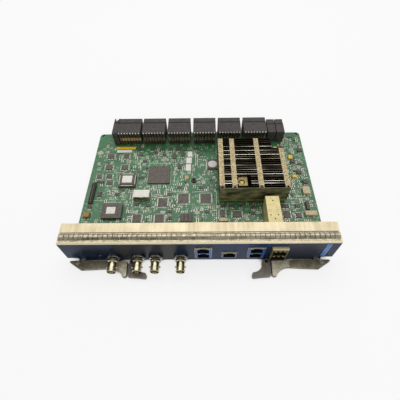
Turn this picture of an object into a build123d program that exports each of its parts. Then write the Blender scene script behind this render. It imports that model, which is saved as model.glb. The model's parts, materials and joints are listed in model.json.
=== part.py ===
# Router interface module: a plug-in circuit board behind a folded steel front panel.
# Millimetres. X runs across the front, Y from the front to the rear, Z up from the table.
# The origin is the centre of the footprint, on the surface that the module lies on.
# Depths are given from the outer side of the front panel and grow to the rear.

import os
from build123d import *

os.makedirs("parts", exist_ok=True)

# Overall reach, before and behind the panel's outer side
front_reach = 22.0
rear_reach = 193.6
face_y = (front_reach - rear_reach) / 2

# Front panel, one folded sheet
panel_width = 276.0
panel_height = 37.8
panel_sheet = 1.5
flange_depth = 23.0
fold_radius = 1.8
return_depth = 12.0
return_bottom = 9.0
tab_width = 12.0
tab_depth = 13.0
tab_xs = (-112.0, -32.0, 20.0, 108.0)
corner_notch_width = 11.0
corner_notch_height = 5.2
indicator_x = -102.7
indicator_z = 10.0

# Gasket of spring fingers on the flange
finger_pitch = 4.7625
finger_slot = 0.7
finger_rise = 2.4
finger_sheet = 0.35
gasket_front = 2.2
gasket_rear = 12.4
gasket_end_margin = 1.5

# Circuit board
board_side_gap = 1.5
board_width = panel_width - 2 * board_side_gap
board_edge = board_width / 2
board_front = 3.2
connector_overhang = 8.6
connector_length = 29.1
board_rear = rear_reach - connector_overhang
board_thickness = 2.4
board_top = 4.0
board_corner = 4.5
edge_hole_radius = 1.6
edge_hole_inset_x = 4.6
edge_hole_inset_y = 3.2
jack_notch_extra = 1.0

# Screws that hold the panel's tabs to the board
screw_radius = 1.5
screw_head_radius = 2.8
screw_head_height = 1.8
screw_depth = 8.0

# Ejector levers and their hinge brackets, right side; the left is the mirror image
pivot_inset = 12.0
pivot_x = panel_width / 2 - pivot_inset
pivot_depth = -5.4
lever_bottom = 0.4
lever_top = 4.8
grip_step = 0.4
grip_length = 18.6
lever_gap = 2.7
grip_gap = 3.9
lever_reach = 20.4
lever_inner_x = 74.2
lever_throat = 10.6
lever_arm_front = 12.1
lever_cheek = 1.3
heel_tip_inset = 2.4
heel_tip_depth = -4.0
fork_reach = 7.4
pocket_length = 27.0
pocket_width = 4.4
pocket_height = 2.6
hinge_play = 0.2
ejector_pin_radius = 1.5
pin_head_height = 0.6
pin_head_extra = 0.8
bore_clearance = 0.05
bracket_sheet = 1.4
bracket_rise = 14.0
tongue_width = 4.6
tongue_inset = 6.8
tongue_radius = 3.0
tongue_inner_x = pivot_x - tongue_inset
tongue_outer_x = tongue_inner_x + tongue_width

# Release latches beside the levers' inner ends
latch_pivot_x = 69.5
latch_pivot_depth = -4.6
latch_bottom = 0.5
latch_top = 4.9
latch_reach = 22.0
latch_outer_x = 72.4
latch_tip_x = 53.4
latch_neck = 5.8
latch_root = 7.4
latch_root_depth = -4.5
latch_cheek = 0.9
latch_pin_radius = 1.25
latch_tongue = 1.0
latch_tongue_width = 3.6
latch_bracket_rise = 6.0
spring_wire = 0.55
spring_turns = 2

# Coaxial jacks on the left half of the panel
jack_xs = (-88.0, -62.5, -44.5, -18.7)
jack_z = 10.8
jack_reach = 18.2
jack_barrel_radius = 4.8
jack_bore_radius = 4.05
jack_bore_depth = 9.0
jack_collar_radius = 5.4
jack_collar_length = 2.6
jack_thread_radius = 5.9
jack_body_depth = 11.0
jack_hole_clearance = 0.15
nut_width = 13.0
nut_thickness = 3.6
lug_radius = 1.0
lug_height = 0.9
lug_setback = 5.2
insulator_radius = 2.35
contact_radius = 0.9
contact_bore = 0.45

# Modular telephone-style network jacks
network_top = 27.4
network_width = 17.6
network_rear = 29.5
network_xs = (4.4, 58.0)
network_second_rear = 27.0
single_x = 31.0
single_width = 15.6
single_top = 17.6
single_rear = 21.0
shield_sheet = 0.4
network_overhang = 0.8
shield_setback = 0.3
port_width = 11.8
port_height = 8.2
port_depth = 12.5
port_floor_upper = 15.9
port_floor_lower = 5.0
clip_width = 6.4
clip_height = 1.6
opening_clearance = 0.4
tab_spring_width = 1.8
tab_spring_height = 0.5

# Stacked cage for two pluggable transceivers
cage_x = 80.6
cage_width = 14.8
cage_top = 25.2
cage_rear = 63.5
cage_sheet = 0.5
cage_divider_z = 14.0
collar_reach = 3.0
collar_top = 29.2
collar_side = 0.7
transceiver_depth = 45.0
vent_radius = 0.75
vent_small_radius = 0.35

# Large chip, pad and folded-fin heatsink
sink_left = 23.3
sink_right = 101.3
sink_front = 69.5
sink_rear_gap = 16.0
sink_rear = rear_reach - connector_length - sink_rear_gap
sink_base_bottom = 7.2
sink_base_thickness = 2.5
sink_top = 32.0
fin_pitch = 3.3
fin_sheet = 0.45
strip_sheet = 0.5
strip_width = 5.8
strip_xs = (26.0, 39.9, 69.4, 98.4)
fishtail = 3.2
notch_left = 88.1
notch_length = 16.5
notch_front = sink_rear - notch_length
boss_left = 44.4
boss_right = 53.0
boss_front = 74.0
boss_rear = 88.4
boss_height = 6.0
pocket_left = 43.8
pocket_right = 58.6
pocket_front = 72.9
pocket_rear = 89.4
asic_size = 40.0
asic_height = 2.8
spring_screw_radius = 1.4
spring_screw_head = 3.0
spring_length = 9.0
spring_coil_radius = 2.5

# Backplane connectors on the rear edge
connector_tail = 9.6
connector_front = rear_reach - connector_length
connector_step = rear_reach - connector_tail
connector_groove = 0.9
connector_groove_depth = 1.3
connector_top = 25.0
connector_lip = 0.7
connector_width = 29.5
connector_centres = (-91.65, -59.5, -26.4, 6.9, 39.6, 72.9)
connector_cover = 2.2
overhang_gap = 0.4
wafer_count = 8
wafer_pitch = 3.65
wafer_sheet = 2.7
wafer_front_gap = 0.9
contact_slot_width = 1.7
contact_slot_depth = 6.0
contact_slot_bottom = 3.0
contact_slot_top = 21.6
guide_left = -113.4
guide_right = -106.7
guide_notch = 6.0
power_xs = (95.2, 106.4)
power_width = 10.2
power_length = 25.4
power_front = rear_reach - power_length
power_top = 21.0
power_overhang_top = 20.2


# Every finished piece is named, written once and counted.
written = []


def save(part, name):
    part.label = name
    export_step(part, "parts/" + name + ".step")
    written.append(name)
    print(name, "solids", len(part.solids()), "volume", round(part.volume, 2))


def across(x):
    """The plane across the module at x, drawn with depth to the right and height up."""
    return Plane(origin=(x, 0, 0), x_dir=(0, 1, 0), z_dir=(1, 0, 0))


def facing(depth):
    """The plane that faces the front at a depth, drawn with X to the right and height up."""
    return Plane(origin=(0, face_y + depth, 0), x_dir=(1, 0, 0), z_dir=(0, -1, 0))


def block(left, right, front, rear, bottom, top, mode=Mode.ADD):
    """A squared block between two X, two depths and two heights, in the part being built."""
    centre = ((left + right) / 2, face_y + (front + rear) / 2, (bottom + top) / 2)
    with Locations(centre):
        Box(right - left, rear - front, top - bottom, mode=mode)


# Front panel: face, top flange, two end returns and four tabs under the board
network_openings = [
    (network_xs[0], network_width, network_top),
    (network_xs[1], network_width, network_top),
    (single_x, single_width, single_top),
]
board_bottom = board_top - board_thickness
tongue_bottom = lever_bottom + lever_cheek + hinge_play
tongue_top = lever_top - lever_cheek - hinge_play
latch_tongue_bottom = latch_bottom + latch_cheek + hinge_play
latch_tongue_top = latch_tongue_bottom + latch_tongue

with BuildPart() as front_panel:
    with BuildSketch(across(-panel_width / 2)):
        with BuildLine():
            Polyline(
                (face_y, 0),
                (face_y + panel_sheet, 0),
                (face_y + panel_sheet, panel_height - panel_sheet),
                (face_y + flange_depth, panel_height - panel_sheet),
                (face_y + flange_depth, panel_height),
                (face_y, panel_height),
                close=True,
            )
        make_face()
    extrude(amount=panel_width)
    fillet(front_panel.edges().filter_by(Axis.X).group_by(Axis.Z)[-1].sort_by(Axis.Y)[0], radius=fold_radius)
    for end in (-1, 1):
        return_edges = sorted((end * panel_width / 2, end * (panel_width / 2 - panel_sheet)))
        block(*return_edges, panel_sheet, return_depth, return_bottom, panel_height - panel_sheet)
    for x in tab_xs:
        block(x - tab_width / 2, x + tab_width / 2, panel_sheet, tab_depth,
              board_bottom - panel_sheet, board_bottom)
    with BuildSketch(Plane.XY):
        with Locations([(x, face_y + screw_depth) for x in tab_xs]):
            Circle(screw_radius)
    extrude(amount=board_bottom, mode=Mode.SUBTRACT)
    with BuildSketch(facing(-1)):
        with Locations([(x, jack_z) for x in jack_xs]):
            Circle(jack_thread_radius + jack_hole_clearance)
        for x, width, top in network_openings:
            with Locations((x, (board_top + top) / 2)):
                Rectangle(width + 2 * opening_clearance, top - board_top + 2 * opening_clearance)
        with Locations((cage_x, (board_top + cage_top) / 2)):
            Rectangle(cage_width + 2 * opening_clearance, cage_top - board_top + 2 * opening_clearance)
        with Locations((indicator_x, indicator_z)):
            SlotOverall(3.0, 1.4)
    extrude(amount=-(panel_sheet + 1.5), mode=Mode.SUBTRACT)
    for side in (-1, 1):
        tongue_edges = sorted((side * tongue_inner_x, side * tongue_outer_x))
        block(*tongue_edges, -1, panel_sheet + 1, tongue_bottom, tongue_top, mode=Mode.SUBTRACT)
        notch_edges = sorted((side * (panel_width / 2 - corner_notch_width), side * (panel_width / 2 + 1)))
        block(*notch_edges, -1, panel_sheet + 1, -1, corner_notch_height, mode=Mode.SUBTRACT)
        latch_x = side * latch_pivot_x
        block(latch_x - latch_tongue_width / 2, latch_x + latch_tongue_width / 2,
              -1, panel_sheet + 1, latch_tongue_bottom, latch_tongue_top, mode=Mode.SUBTRACT)
save(front_panel.part, "front_panel")

# Gasket: a strip of thin sheet, arched over the flange and slit into fingers
gasket_length = panel_width - 2 * gasket_end_margin
finger_count = int(gasket_length / finger_pitch)
with BuildPart() as gasket_strip:
    with BuildSketch(across(-gasket_length / 2)):
        with BuildLine():
            base_z = panel_height + finger_sheet / 2
            Polyline(
                (face_y + gasket_front, base_z),
                (face_y + gasket_front + 1.5, base_z),
                (face_y + gasket_front + 3.2, base_z + finger_rise * 0.85),
                (face_y + gasket_front + 4.4, base_z + finger_rise),
                (face_y + gasket_front + 6.0, base_z + finger_rise),
                (face_y + gasket_front + 7.2, base_z + finger_rise * 0.8),
                (face_y + gasket_rear - 1.6, base_z),
                (face_y + gasket_rear, base_z),
            )
        trace(line_width=finger_sheet)
    extrude(amount=gasket_length)
    slot_front = gasket_front + 1.8
    slot_rear = gasket_rear - 1.8
    slot_centre = (0, face_y + (slot_front + slot_rear) / 2, panel_height + finger_rise)
    with Locations(slot_centre):
        with GridLocations(finger_pitch, 1, finger_count - 1, 1):
            Box(finger_slot, slot_rear - slot_front, 4 * finger_rise, mode=Mode.SUBTRACT)
    notch_centre = (0, face_y + gasket_front, panel_height)
    with Locations(notch_centre):
        with GridLocations(2 * finger_pitch, 1, finger_count // 2, 1):
            Box(finger_slot, 2.2, 4 * finger_rise, mode=Mode.SUBTRACT)
save(gasket_strip.part, "gasket_strip")

# Circuit board, notched for the jack bodies, with two holes by the rear corners
with BuildPart() as circuit_board:
    with BuildSketch(Plane.XY.offset(board_bottom)) as outline:
        with Locations((0, face_y + (board_front + board_rear) / 2)):
            Rectangle(board_width, board_rear - board_front)
        fillet(outline.vertices().group_by(Axis.Y)[-1], radius=board_corner)
        for x in jack_xs:
            with Locations((x, face_y + board_front)):
                Rectangle(2 * jack_thread_radius + jack_notch_extra,
                          2 * (jack_body_depth - board_front + jack_notch_extra), mode=Mode.SUBTRACT)
        hole_x = board_edge - edge_hole_inset_x
        hole_y = face_y + board_rear - edge_hole_inset_y
        with Locations((-hole_x, hole_y), (hole_x, hole_y)):
            Circle(edge_hole_radius, mode=Mode.SUBTRACT)
        with Locations([(x, face_y + screw_depth) for x in tab_xs]):
            Circle(screw_radius, mode=Mode.SUBTRACT)
    extrude(amount=board_thickness)
save(circuit_board.part, "circuit_board")

# Screws through the board into the panel's tabs
with BuildPart() as tab_screws:
    with BuildSketch(Plane.XY.offset(board_bottom - panel_sheet)):
        with Locations([(x, face_y + screw_depth) for x in tab_xs]):
            Circle(screw_radius)
    extrude(amount=board_thickness + panel_sheet)
    with BuildSketch(Plane.XY.offset(board_top)):
        with Locations([(x, face_y + screw_depth) for x in tab_xs]):
            Circle(screw_head_radius)
            RegularPolygon(1.1, 6, mode=Mode.SUBTRACT)
    extrude(amount=screw_head_height)
save(tab_screws.part, "tab_screws")


# Ejector lever: a thick arm with a waisted grip at its inner end and a fork at its heel.
# Its outer end is cut off at a slant, and swings through the notch in the panel's corner.
def make_ejector(side):
    def spot(x, depth):
        return (side * x, face_y + depth)

    grip_end = lever_inner_x + grip_length
    heel_tip = panel_width / 2 - heel_tip_inset
    beyond = panel_width / 2 + 10
    slot_inner = pivot_x - fork_reach
    with BuildPart() as ejector:
        with BuildSketch(Plane.XY.offset(lever_bottom)):
            with BuildLine():
                back_inner = spot(lever_inner_x + 0.6, -grip_gap)
                tip_inner = spot(lever_inner_x, -lever_reach + 1.4)
                tip_outer = spot(lever_inner_x + 4.4, -lever_reach + 0.8)
                throat = spot(grip_end, -lever_throat)
                arm_front = spot(pivot_x - 3.4, -lever_arm_front)
                tip = spot(heel_tip, heel_tip_depth)
                heel_back = spot(heel_tip - 1.3, -lever_gap)
                arm_back = spot(grip_end + 3.4, -lever_gap)
                grip_back = spot(grip_end + 1.2, -grip_gap)
                Line(heel_back, arm_back)
                Line(arm_back, grip_back)
                Line(grip_back, back_inner)
                Line(back_inner, tip_inner)
                ThreePointArc(tip_inner, spot(lever_inner_x + 2.2, -lever_reach), tip_outer)
                ThreePointArc(tip_outer, spot(lever_inner_x + 8.4, -14.0), throat)
                ThreePointArc(throat, spot((grip_end + pivot_x) / 2, -lever_throat - 1.0), arm_front)
                Line(arm_front, tip)
                Line(tip, heel_back)
            make_face()
        extrude(amount=lever_top - lever_bottom)
        # The arm's outer part is a little lower than the grip pad
        with BuildSketch(Plane.XY.offset(lever_top - grip_step)):
            with Locations(spot((grip_end + beyond) / 2, -10)):
                Rectangle(beyond - grip_end, 24)
        extrude(amount=2 * grip_step, mode=Mode.SUBTRACT)
        # Fork for the bracket's tongue
        slot_middle = (side * (slot_inner + beyond) / 2, face_y + pivot_depth,
                       (tongue_bottom + tongue_top) / 2)
        with Locations(slot_middle):
            Box(beyond - slot_inner, 30, tongue_top - tongue_bottom + 2 * hinge_play, mode=Mode.SUBTRACT)
        with Locations((side * pivot_x, face_y + pivot_depth, 0)):
            Cylinder(ejector_pin_radius + bore_clearance, 40, mode=Mode.SUBTRACT)
        # Lightening pocket in the underside of the arm
        with BuildSketch(Plane.XY.offset(lever_bottom)):
            with Locations(spot(slot_inner - pocket_length / 2 - 1.4, -lever_throat / 2 - lever_gap / 2)):
                RectangleRounded(pocket_length, pocket_width, 1.2)
        extrude(amount=pocket_height, mode=Mode.SUBTRACT)
    return ejector.part


# Hinge bracket: an upright plate behind the panel with a tongue through it
def make_ejector_bracket(side):
    with BuildPart() as bracket:
        with BuildSketch(Plane.XY.offset(tongue_bottom)):
            with BuildLine():
                Polyline(
                    (side * tongue_inner_x, face_y),
                    (side * tongue_outer_x, face_y),
                    (side * (pivot_x + tongue_radius * 0.7), face_y + pivot_depth + tongue_radius * 0.6),
                    (side * (pivot_x - tongue_radius * 0.8), face_y + pivot_depth - tongue_radius * 0.5),
                    close=True,
                )
            make_face()
            with Locations((side * pivot_x, face_y + pivot_depth)):
                Circle(tongue_radius)
        extrude(amount=tongue_top - tongue_bottom)
        low, high = sorted((side * tongue_inner_x, side * tongue_outer_x))
        block(low, high, 0, panel_sheet + bracket_sheet, tongue_bottom, tongue_top)
        block(low, high, panel_sheet, panel_sheet + bracket_sheet, tongue_bottom, bracket_rise)
        with Locations((side * pivot_x, face_y + pivot_depth, 0)):
            Cylinder(ejector_pin_radius, 40, mode=Mode.SUBTRACT)
    return bracket.part


# Release latch: a thumb hook on a narrow neck, forked at its heel
def make_latch(side):
    def spot(x, depth):
        return (side * x, face_y + depth)

    neck_inner = latch_outer_x - latch_neck
    with BuildPart() as latch:
        with BuildSketch(Plane.XY.offset(latch_bottom)):
            with BuildLine():
                root_x = latch_outer_x - latch_root
                heel_inner = spot(neck_inner, latch_root_depth)
                root = spot(root_x, latch_root_depth)
                flare = spot(root_x - 0.4, -9.0)
                hook_back = spot(latch_tip_x + 2.3, -16.2)
                hook_front = spot(latch_tip_x + 1.2, -latch_reach)
                front_outer = spot(latch_outer_x - 0.6, -latch_reach + 1.6)
                heel_outer = spot(latch_outer_x, latch_root_depth)
                Line(heel_inner, root)
                Line(root, flare)
                ThreePointArc(flare, spot(root_x - 2.8, -13.2), hook_back)
                ThreePointArc(hook_back, spot(latch_tip_x, -19.1), hook_front)
                ThreePointArc(hook_front, spot(latch_tip_x + 9.0, -latch_reach + 1.0), front_outer)
                Line(front_outer, heel_outer)
                Line(heel_outer, heel_inner)
            make_face()
            with Locations(spot(latch_pivot_x, latch_pivot_depth)):
                Circle(latch_neck / 2)
        extrude(amount=latch_top - latch_bottom)
        fork_height = latch_top - latch_bottom - 2 * latch_cheek
        fork_middle = (side * latch_pivot_x, face_y + latch_pivot_depth, (latch_bottom + latch_top) / 2)
        with Locations(fork_middle):
            Box(2 * latch_root, 9.4, fork_height, mode=Mode.SUBTRACT)
        with Locations((side * latch_pivot_x, face_y + latch_pivot_depth, 0)):
            Cylinder(latch_pin_radius + bore_clearance, 40, mode=Mode.SUBTRACT)
    return latch.part


# Latch bracket: a small angle behind the panel whose tongue carries the latch's pin
def make_latch_bracket(side):
    x = side * latch_pivot_x
    low = x - latch_tongue_width / 2
    high = x + latch_tongue_width / 2
    with BuildPart() as bracket:
        block(low, high, latch_pivot_depth, panel_sheet + bracket_sheet,
              latch_tongue_bottom, latch_tongue_top)
        block(low, high, panel_sheet, panel_sheet + bracket_sheet, latch_tongue_bottom, latch_bracket_rise)
        with Locations((x, face_y + latch_pivot_depth, (latch_tongue_bottom + latch_tongue_top) / 2)):
            Cylinder(latch_tongue_width / 2, latch_tongue)
            Cylinder(latch_pin_radius, 40, mode=Mode.SUBTRACT)
    return bracket.part


for side, name in ((-1, "left"), (1, "right")):
    save(make_ejector(side), name + "_ejector")
    save(make_latch(side), name + "_latch")
save(Compound(children=[make_ejector_bracket(side) for side in (-1, 1)]), "ejector_brackets")
save(Compound(children=[make_latch_bracket(side) for side in (-1, 1)]), "latch_brackets")

# Hinge pins of the levers, headed above and flush below
with BuildPart() as ejector_pins:
    with BuildSketch(Plane.XY.offset(lever_bottom)):
        with Locations([(side * pivot_x, face_y + pivot_depth) for side in (-1, 1)]):
            Circle(ejector_pin_radius)
    extrude(amount=lever_top - lever_bottom)
    with BuildSketch(Plane.XY.offset(lever_top - grip_step + hinge_play)):
        with Locations([(side * pivot_x, face_y + pivot_depth) for side in (-1, 1)]):
            Circle(ejector_pin_radius + pin_head_extra)
    extrude(amount=pin_head_height)
save(ejector_pins.part, "ejector_pins")

# Hinge pins of the latches
with BuildPart() as latch_pins:
    with BuildSketch(Plane.XY.offset(latch_bottom)):
        with Locations([(side * latch_pivot_x, face_y + latch_pivot_depth) for side in (-1, 1)]):
            Circle(latch_pin_radius)
    extrude(amount=latch_top - latch_bottom)
    with BuildSketch(Plane.XY.offset(latch_top + hinge_play)):
        with Locations([(side * latch_pivot_x, face_y + latch_pivot_depth) for side in (-1, 1)]):
            Circle(latch_pin_radius + 0.5)
    extrude(amount=0.5)
    with BuildSketch(Plane.XY.offset(latch_top)):
        with Locations([(side * latch_pivot_x, face_y + latch_pivot_depth) for side in (-1, 1)]):
            Circle(latch_pin_radius)
    extrude(amount=hinge_play)
save(latch_pins.part, "latch_pins")

# Return springs: close coils round the latch pins, resting on the brackets' tongues
coil_radius = latch_pin_radius + spring_wire / 2 + 0.12
with BuildPart() as latch_springs:
    for side in (-1, 1):
        centre = (side * latch_pivot_x, face_y + latch_pivot_depth, 0)
        with BuildSketch(Plane(origin=centre, x_dir=(1, 0, 0), z_dir=(0, -1, 0))):
            for turn in range(spring_turns):
                wire_z = latch_tongue_top + spring_wire / 2 + turn * spring_wire * 0.9
                with Locations((coil_radius, wire_z)):
                    Circle(spring_wire / 2)
        revolve(axis=Axis(centre, (0, 0, 1)))
save(latch_springs.part, "latch_springs")


# Coaxial jack: threaded body through the panel, collar and bayonet barrel in front
def make_jack(x):
    with BuildPart() as jack:
        with BuildSketch(Plane(origin=(x, face_y, jack_z), x_dir=(0, -1, 0), z_dir=(1, 0, 0))):
            with BuildLine():
                collar_end = nut_thickness + 1.0 + jack_collar_length
                Polyline(
                    (-jack_body_depth, 0),
                    (-jack_body_depth, jack_thread_radius),
                    (nut_thickness + 0.6, jack_thread_radius),
                    (nut_thickness + 1.0, jack_barrel_radius - 0.6),
                    (nut_thickness + 1.6, jack_barrel_radius - 0.6),
                    (nut_thickness + 1.9, jack_collar_radius),
                    (collar_end, jack_collar_radius),
                    (collar_end + 0.8, jack_barrel_radius - 0.3),
                    (jack_reach - 1.6, jack_barrel_radius - 0.3),
                    (jack_reach - 1.2, jack_barrel_radius),
                    (jack_reach - 0.3, jack_barrel_radius),
                    (jack_reach, jack_barrel_radius - 0.3),
                    (jack_reach, jack_bore_radius),
                    (jack_reach - jack_bore_depth, jack_bore_radius),
                    (jack_reach - jack_bore_depth, 0),
                    close=True,
                )
            make_face()
        revolve(axis=Axis((x, face_y, jack_z), (0, 1, 0)))
        lug_y = face_y - jack_reach + lug_setback
        for side in (-1, 1):
            with BuildSketch(Plane(origin=(x + side * (jack_barrel_radius - 1.0), lug_y, jack_z),
                                   x_dir=(0, 1, 0), z_dir=(side, 0, 0))):
                Circle(lug_radius)
            extrude(amount=lug_height + 1.0)
        # The contact's seat in the bottom of the bore
        with Locations((x, face_y - jack_reach + jack_bore_depth, jack_z)):
            Cylinder(contact_radius, 4.0, rotation=(90, 0, 0), mode=Mode.SUBTRACT)
    return jack.part


for number, x in enumerate(jack_xs, start=1):
    save(make_jack(x), "coaxial_jack_" + str(number))

# Hexagon nuts of the jacks, chamfered on the front, flat on the panel
with BuildPart() as jack_nuts:
    with BuildSketch(facing(0)):
        with Locations([(x, jack_z) for x in jack_xs]):
            RegularPolygon(nut_width / 2, 6, major_radius=False)
    extrude(amount=nut_thickness)
    chamfer(jack_nuts.faces().sort_by(Axis.Y)[0:4].edges(), length=0.5)
    with BuildSketch(facing(-nut_thickness - 1)):
        with Locations([(x, jack_z) for x in jack_xs]):
            Circle(jack_thread_radius)
    extrude(amount=-(nut_thickness + 2), mode=Mode.SUBTRACT)
save(jack_nuts.part, "jack_nuts")

# White insulators at the bottom of the barrels, each with a tube round the contact
with BuildPart() as jack_insulators:
    with BuildSketch(facing(-jack_reach + jack_bore_depth)):
        with Locations([(x, jack_z) for x in jack_xs]):
            Circle(jack_bore_radius)
            Circle(contact_radius, mode=Mode.SUBTRACT)
    extrude(amount=1.0)
    with BuildSketch(facing(-jack_reach + jack_bore_depth - 1.0)):
        with Locations([(x, jack_z) for x in jack_xs]):
            Circle(insulator_radius)
            Circle(contact_radius, mode=Mode.SUBTRACT)
    extrude(amount=5.4)
save(jack_insulators.part, "jack_insulators")

# Gilt centre contacts, hollow at the front
with BuildPart() as jack_contacts:
    with BuildSketch(facing(-jack_reach + jack_bore_depth + 2.0)):
        with Locations([(x, jack_z) for x in jack_xs]):
            Circle(contact_radius)
    extrude(amount=7.8)
    with BuildSketch(facing(-jack_reach + jack_bore_depth - 5.8)):
        with Locations([(x, jack_z) for x in jack_xs]):
            Circle(contact_bore)
    extrude(amount=-4.0, mode=Mode.SUBTRACT)
save(jack_contacts.part, "jack_contacts")


# Network jack shield: a thin can inside the panel's opening, and a lip with two small
# springs over the top of the jack in front
def make_shield(x, width, top, rear):
    with BuildPart() as shield:
        block(x - width / 2, x + width / 2, shield_setback, rear, board_top, top)
        block(x - width / 2 + shield_sheet, x + width / 2 - shield_sheet,
              shield_setback - 1, rear - shield_sheet,
              board_top - 1, top - shield_sheet, mode=Mode.SUBTRACT)
        block(x - width / 2, x + width / 2, -network_overhang, shield_setback, top - shield_sheet, top)
        for side in (-1, 1):
            spring_x = x + side * (width / 2 - 3.2)
            block(spring_x - tab_spring_width / 2, spring_x + tab_spring_width / 2,
                  -network_overhang - tab_spring_height, -0.2, top - shield_sheet, top + tab_spring_height)
    return shield.part


# Network jack body: a moulded block with one cavity a port, each with its latch groove
def make_jack_body(x, width, top, rear, floors):
    inner = width / 2 - shield_sheet
    with BuildPart() as body:
        block(x - inner, x + inner, -network_overhang + 0.2, rear - shield_sheet,
              board_top, top - shield_sheet)
        for port_floor, groove in floors:
            block(x - port_width / 2, x + port_width / 2, -network_overhang - 1, port_depth,
                  port_floor, port_floor + port_height, mode=Mode.SUBTRACT)
            groove_z = port_floor - clip_height if groove < 0 else port_floor + port_height
            block(x - clip_width / 2, x + clip_width / 2, -network_overhang - 1, port_depth - 4,
                  groove_z, groove_z + clip_height, mode=Mode.SUBTRACT)
    return body.part


stack_floors = ((port_floor_upper, 1), (port_floor_lower, 1))
single_floor = ((board_top + 2.2, 1),)
save(make_shield(network_xs[0], network_width, network_top, network_rear), "network_shield_1")
save(make_jack_body(network_xs[0], network_width, network_top, network_rear, stack_floors),
     "network_body_1")
save(make_shield(network_xs[1], network_width, network_top, network_second_rear), "network_shield_2")
save(make_jack_body(network_xs[1], network_width, network_top, network_second_rear, stack_floors),
     "network_body_2")
save(make_shield(single_x, single_width, single_top, single_rear), "management_shield")
save(make_jack_body(single_x, single_width, single_top, single_rear, single_floor), "management_body")

# Transceiver cage: folded sheet with a middle shelf, vents and a collar before the panel
with BuildPart() as transceiver_cage:
    cage_left = cage_x - cage_width / 2
    cage_right = cage_x + cage_width / 2
    block(cage_left, cage_right, 0, cage_rear, board_top, cage_top)
    block(cage_left - collar_side, cage_right + collar_side, -collar_reach, 0, board_top - 0.6, collar_top)
    inner_left = cage_left + cage_sheet
    inner_right = cage_right - cage_sheet
    for bottom, top in ((board_top + cage_sheet, cage_divider_z),
                        (cage_divider_z + cage_sheet, cage_top - cage_sheet)):
        block(inner_left, inner_right, -collar_reach - 1, cage_rear - cage_sheet,
              bottom, top, mode=Mode.SUBTRACT)
    with BuildSketch(Plane.XY.offset(cage_top - 2 * cage_sheet)):
        with Locations((cage_x, face_y + 57.6), (cage_x, face_y + 34.6)):
            Circle(vent_radius)
        with Locations((cage_x - 4.1, face_y + 39.1), (cage_x + 3.7, face_y + 39.1)):
            Circle(vent_radius)
        with Locations((cage_x - 4.1, face_y + 44.8), (cage_x + 3.7, face_y + 44.8)):
            with GridLocations(1.5, 1.8, 2, 2):
                Circle(vent_small_radius)
    extrude(amount=3 * cage_sheet, mode=Mode.SUBTRACT)
save(transceiver_cage.part, "transceiver_cage")

# Two edge connectors at the far end of the cage's bays, each with a slot for a card edge
card_slot_floor = 2.6
card_slot_height = 1.6
with BuildPart() as cage_connectors:
    for bottom, top in ((board_top + cage_sheet, cage_divider_z),
                        (cage_divider_z + cage_sheet, cage_top - cage_sheet)):
        block(inner_left + 1.0, inner_right - 1.0, transceiver_depth, transceiver_depth + 9.0,
              bottom, top - 2.4)
        block(inner_left + 2.0, inner_right - 2.0, transceiver_depth - 1, transceiver_depth + 5.0,
              bottom + card_slot_floor, bottom + card_slot_floor + card_slot_height, mode=Mode.SUBTRACT)
save(cage_connectors.part, "cage_connectors")

# Large chip under the heatsink, its pad and the heatsink's base plate
sink_x = (sink_left + sink_right) / 2
sink_y = face_y + (sink_front + sink_rear) / 2
with BuildPart() as switch_chip:
    with BuildSketch(Plane.XY.offset(board_top)):
        with Locations((sink_x, sink_y)):
            RectangleRounded(asic_size, asic_size, 0.8)
    extrude(amount=asic_height)
save(switch_chip.part, "switch_chip")

with BuildPart() as thermal_pad:
    with BuildSketch(Plane.XY.offset(board_top + asic_height)):
        with Locations((sink_x, sink_y)):
            Rectangle(asic_size - 6, asic_size - 6)
    extrude(amount=sink_base_bottom - board_top - asic_height)
save(thermal_pad.part, "thermal_pad")

screw_spots = [
    ((boss_left + boss_right) / 2, (boss_front + boss_rear) / 2, boss_height),
    ((notch_left + sink_right) / 2, (notch_front + sink_rear) / 2, 0.0),
]
base_top = sink_base_bottom + sink_base_thickness
with BuildPart() as heatsink_base:
    with BuildSketch(Plane.XY.offset(sink_base_bottom)):
        with Locations((sink_x, sink_y)):
            RectangleRounded(sink_right - sink_left, sink_rear - sink_front, 1.0)
        with Locations([(x, face_y + depth) for x, depth, seat in screw_spots]):
            Circle(spring_screw_radius + 0.3, mode=Mode.SUBTRACT)
    extrude(amount=sink_base_thickness)
    block(boss_left, boss_right, boss_front, boss_rear, base_top, base_top + boss_height)
    with BuildSketch(Plane.XY.offset(base_top)):
        with Locations((screw_spots[0][0], face_y + screw_spots[0][1])):
            Circle(spring_screw_radius + 0.3)
    extrude(amount=boss_height, mode=Mode.SUBTRACT)
save(heatsink_base.part, "heatsink_base")

# Fin pack: sheet fins soldered to the base, locked together by folded tabs along the top
fin_count = int((sink_rear - sink_front - fin_sheet) / fin_pitch) + 1
with BuildPart() as heatsink_fins:
    with BuildSketch(Plane.XY.offset(base_top)):
        for number in range(fin_count):
            fin_y = face_y + sink_front + fin_sheet / 2 + number * fin_pitch
            with Locations((sink_x, fin_y)):
                Rectangle(sink_right - sink_left, fin_sheet)
    extrude(amount=sink_top - base_top)
    with BuildSketch(Plane.XY.offset(sink_top - strip_sheet)):
        strip_rear = face_y + sink_front + (fin_count - 1) * fin_pitch + fin_sheet
        for x in strip_xs:
            half = strip_width / 2
            with BuildLine():
                Polyline(
                    (x - half, face_y + sink_front),
                    (x, face_y + sink_front + fishtail),
                    (x + half, face_y + sink_front),
                    (x + half, strip_rear),
                    (x - half, strip_rear),
                    close=True,
                )
            make_face()
    extrude(amount=strip_sheet)
    block(notch_left, sink_right + 5, notch_front, sink_rear + 5,
          base_top - 1, sink_top + 1, mode=Mode.SUBTRACT)
    block(pocket_left, pocket_right, pocket_front, pocket_rear,
          base_top - 1, sink_top + 1, mode=Mode.SUBTRACT)
save(heatsink_fins.part, "heatsink_fins")

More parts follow.
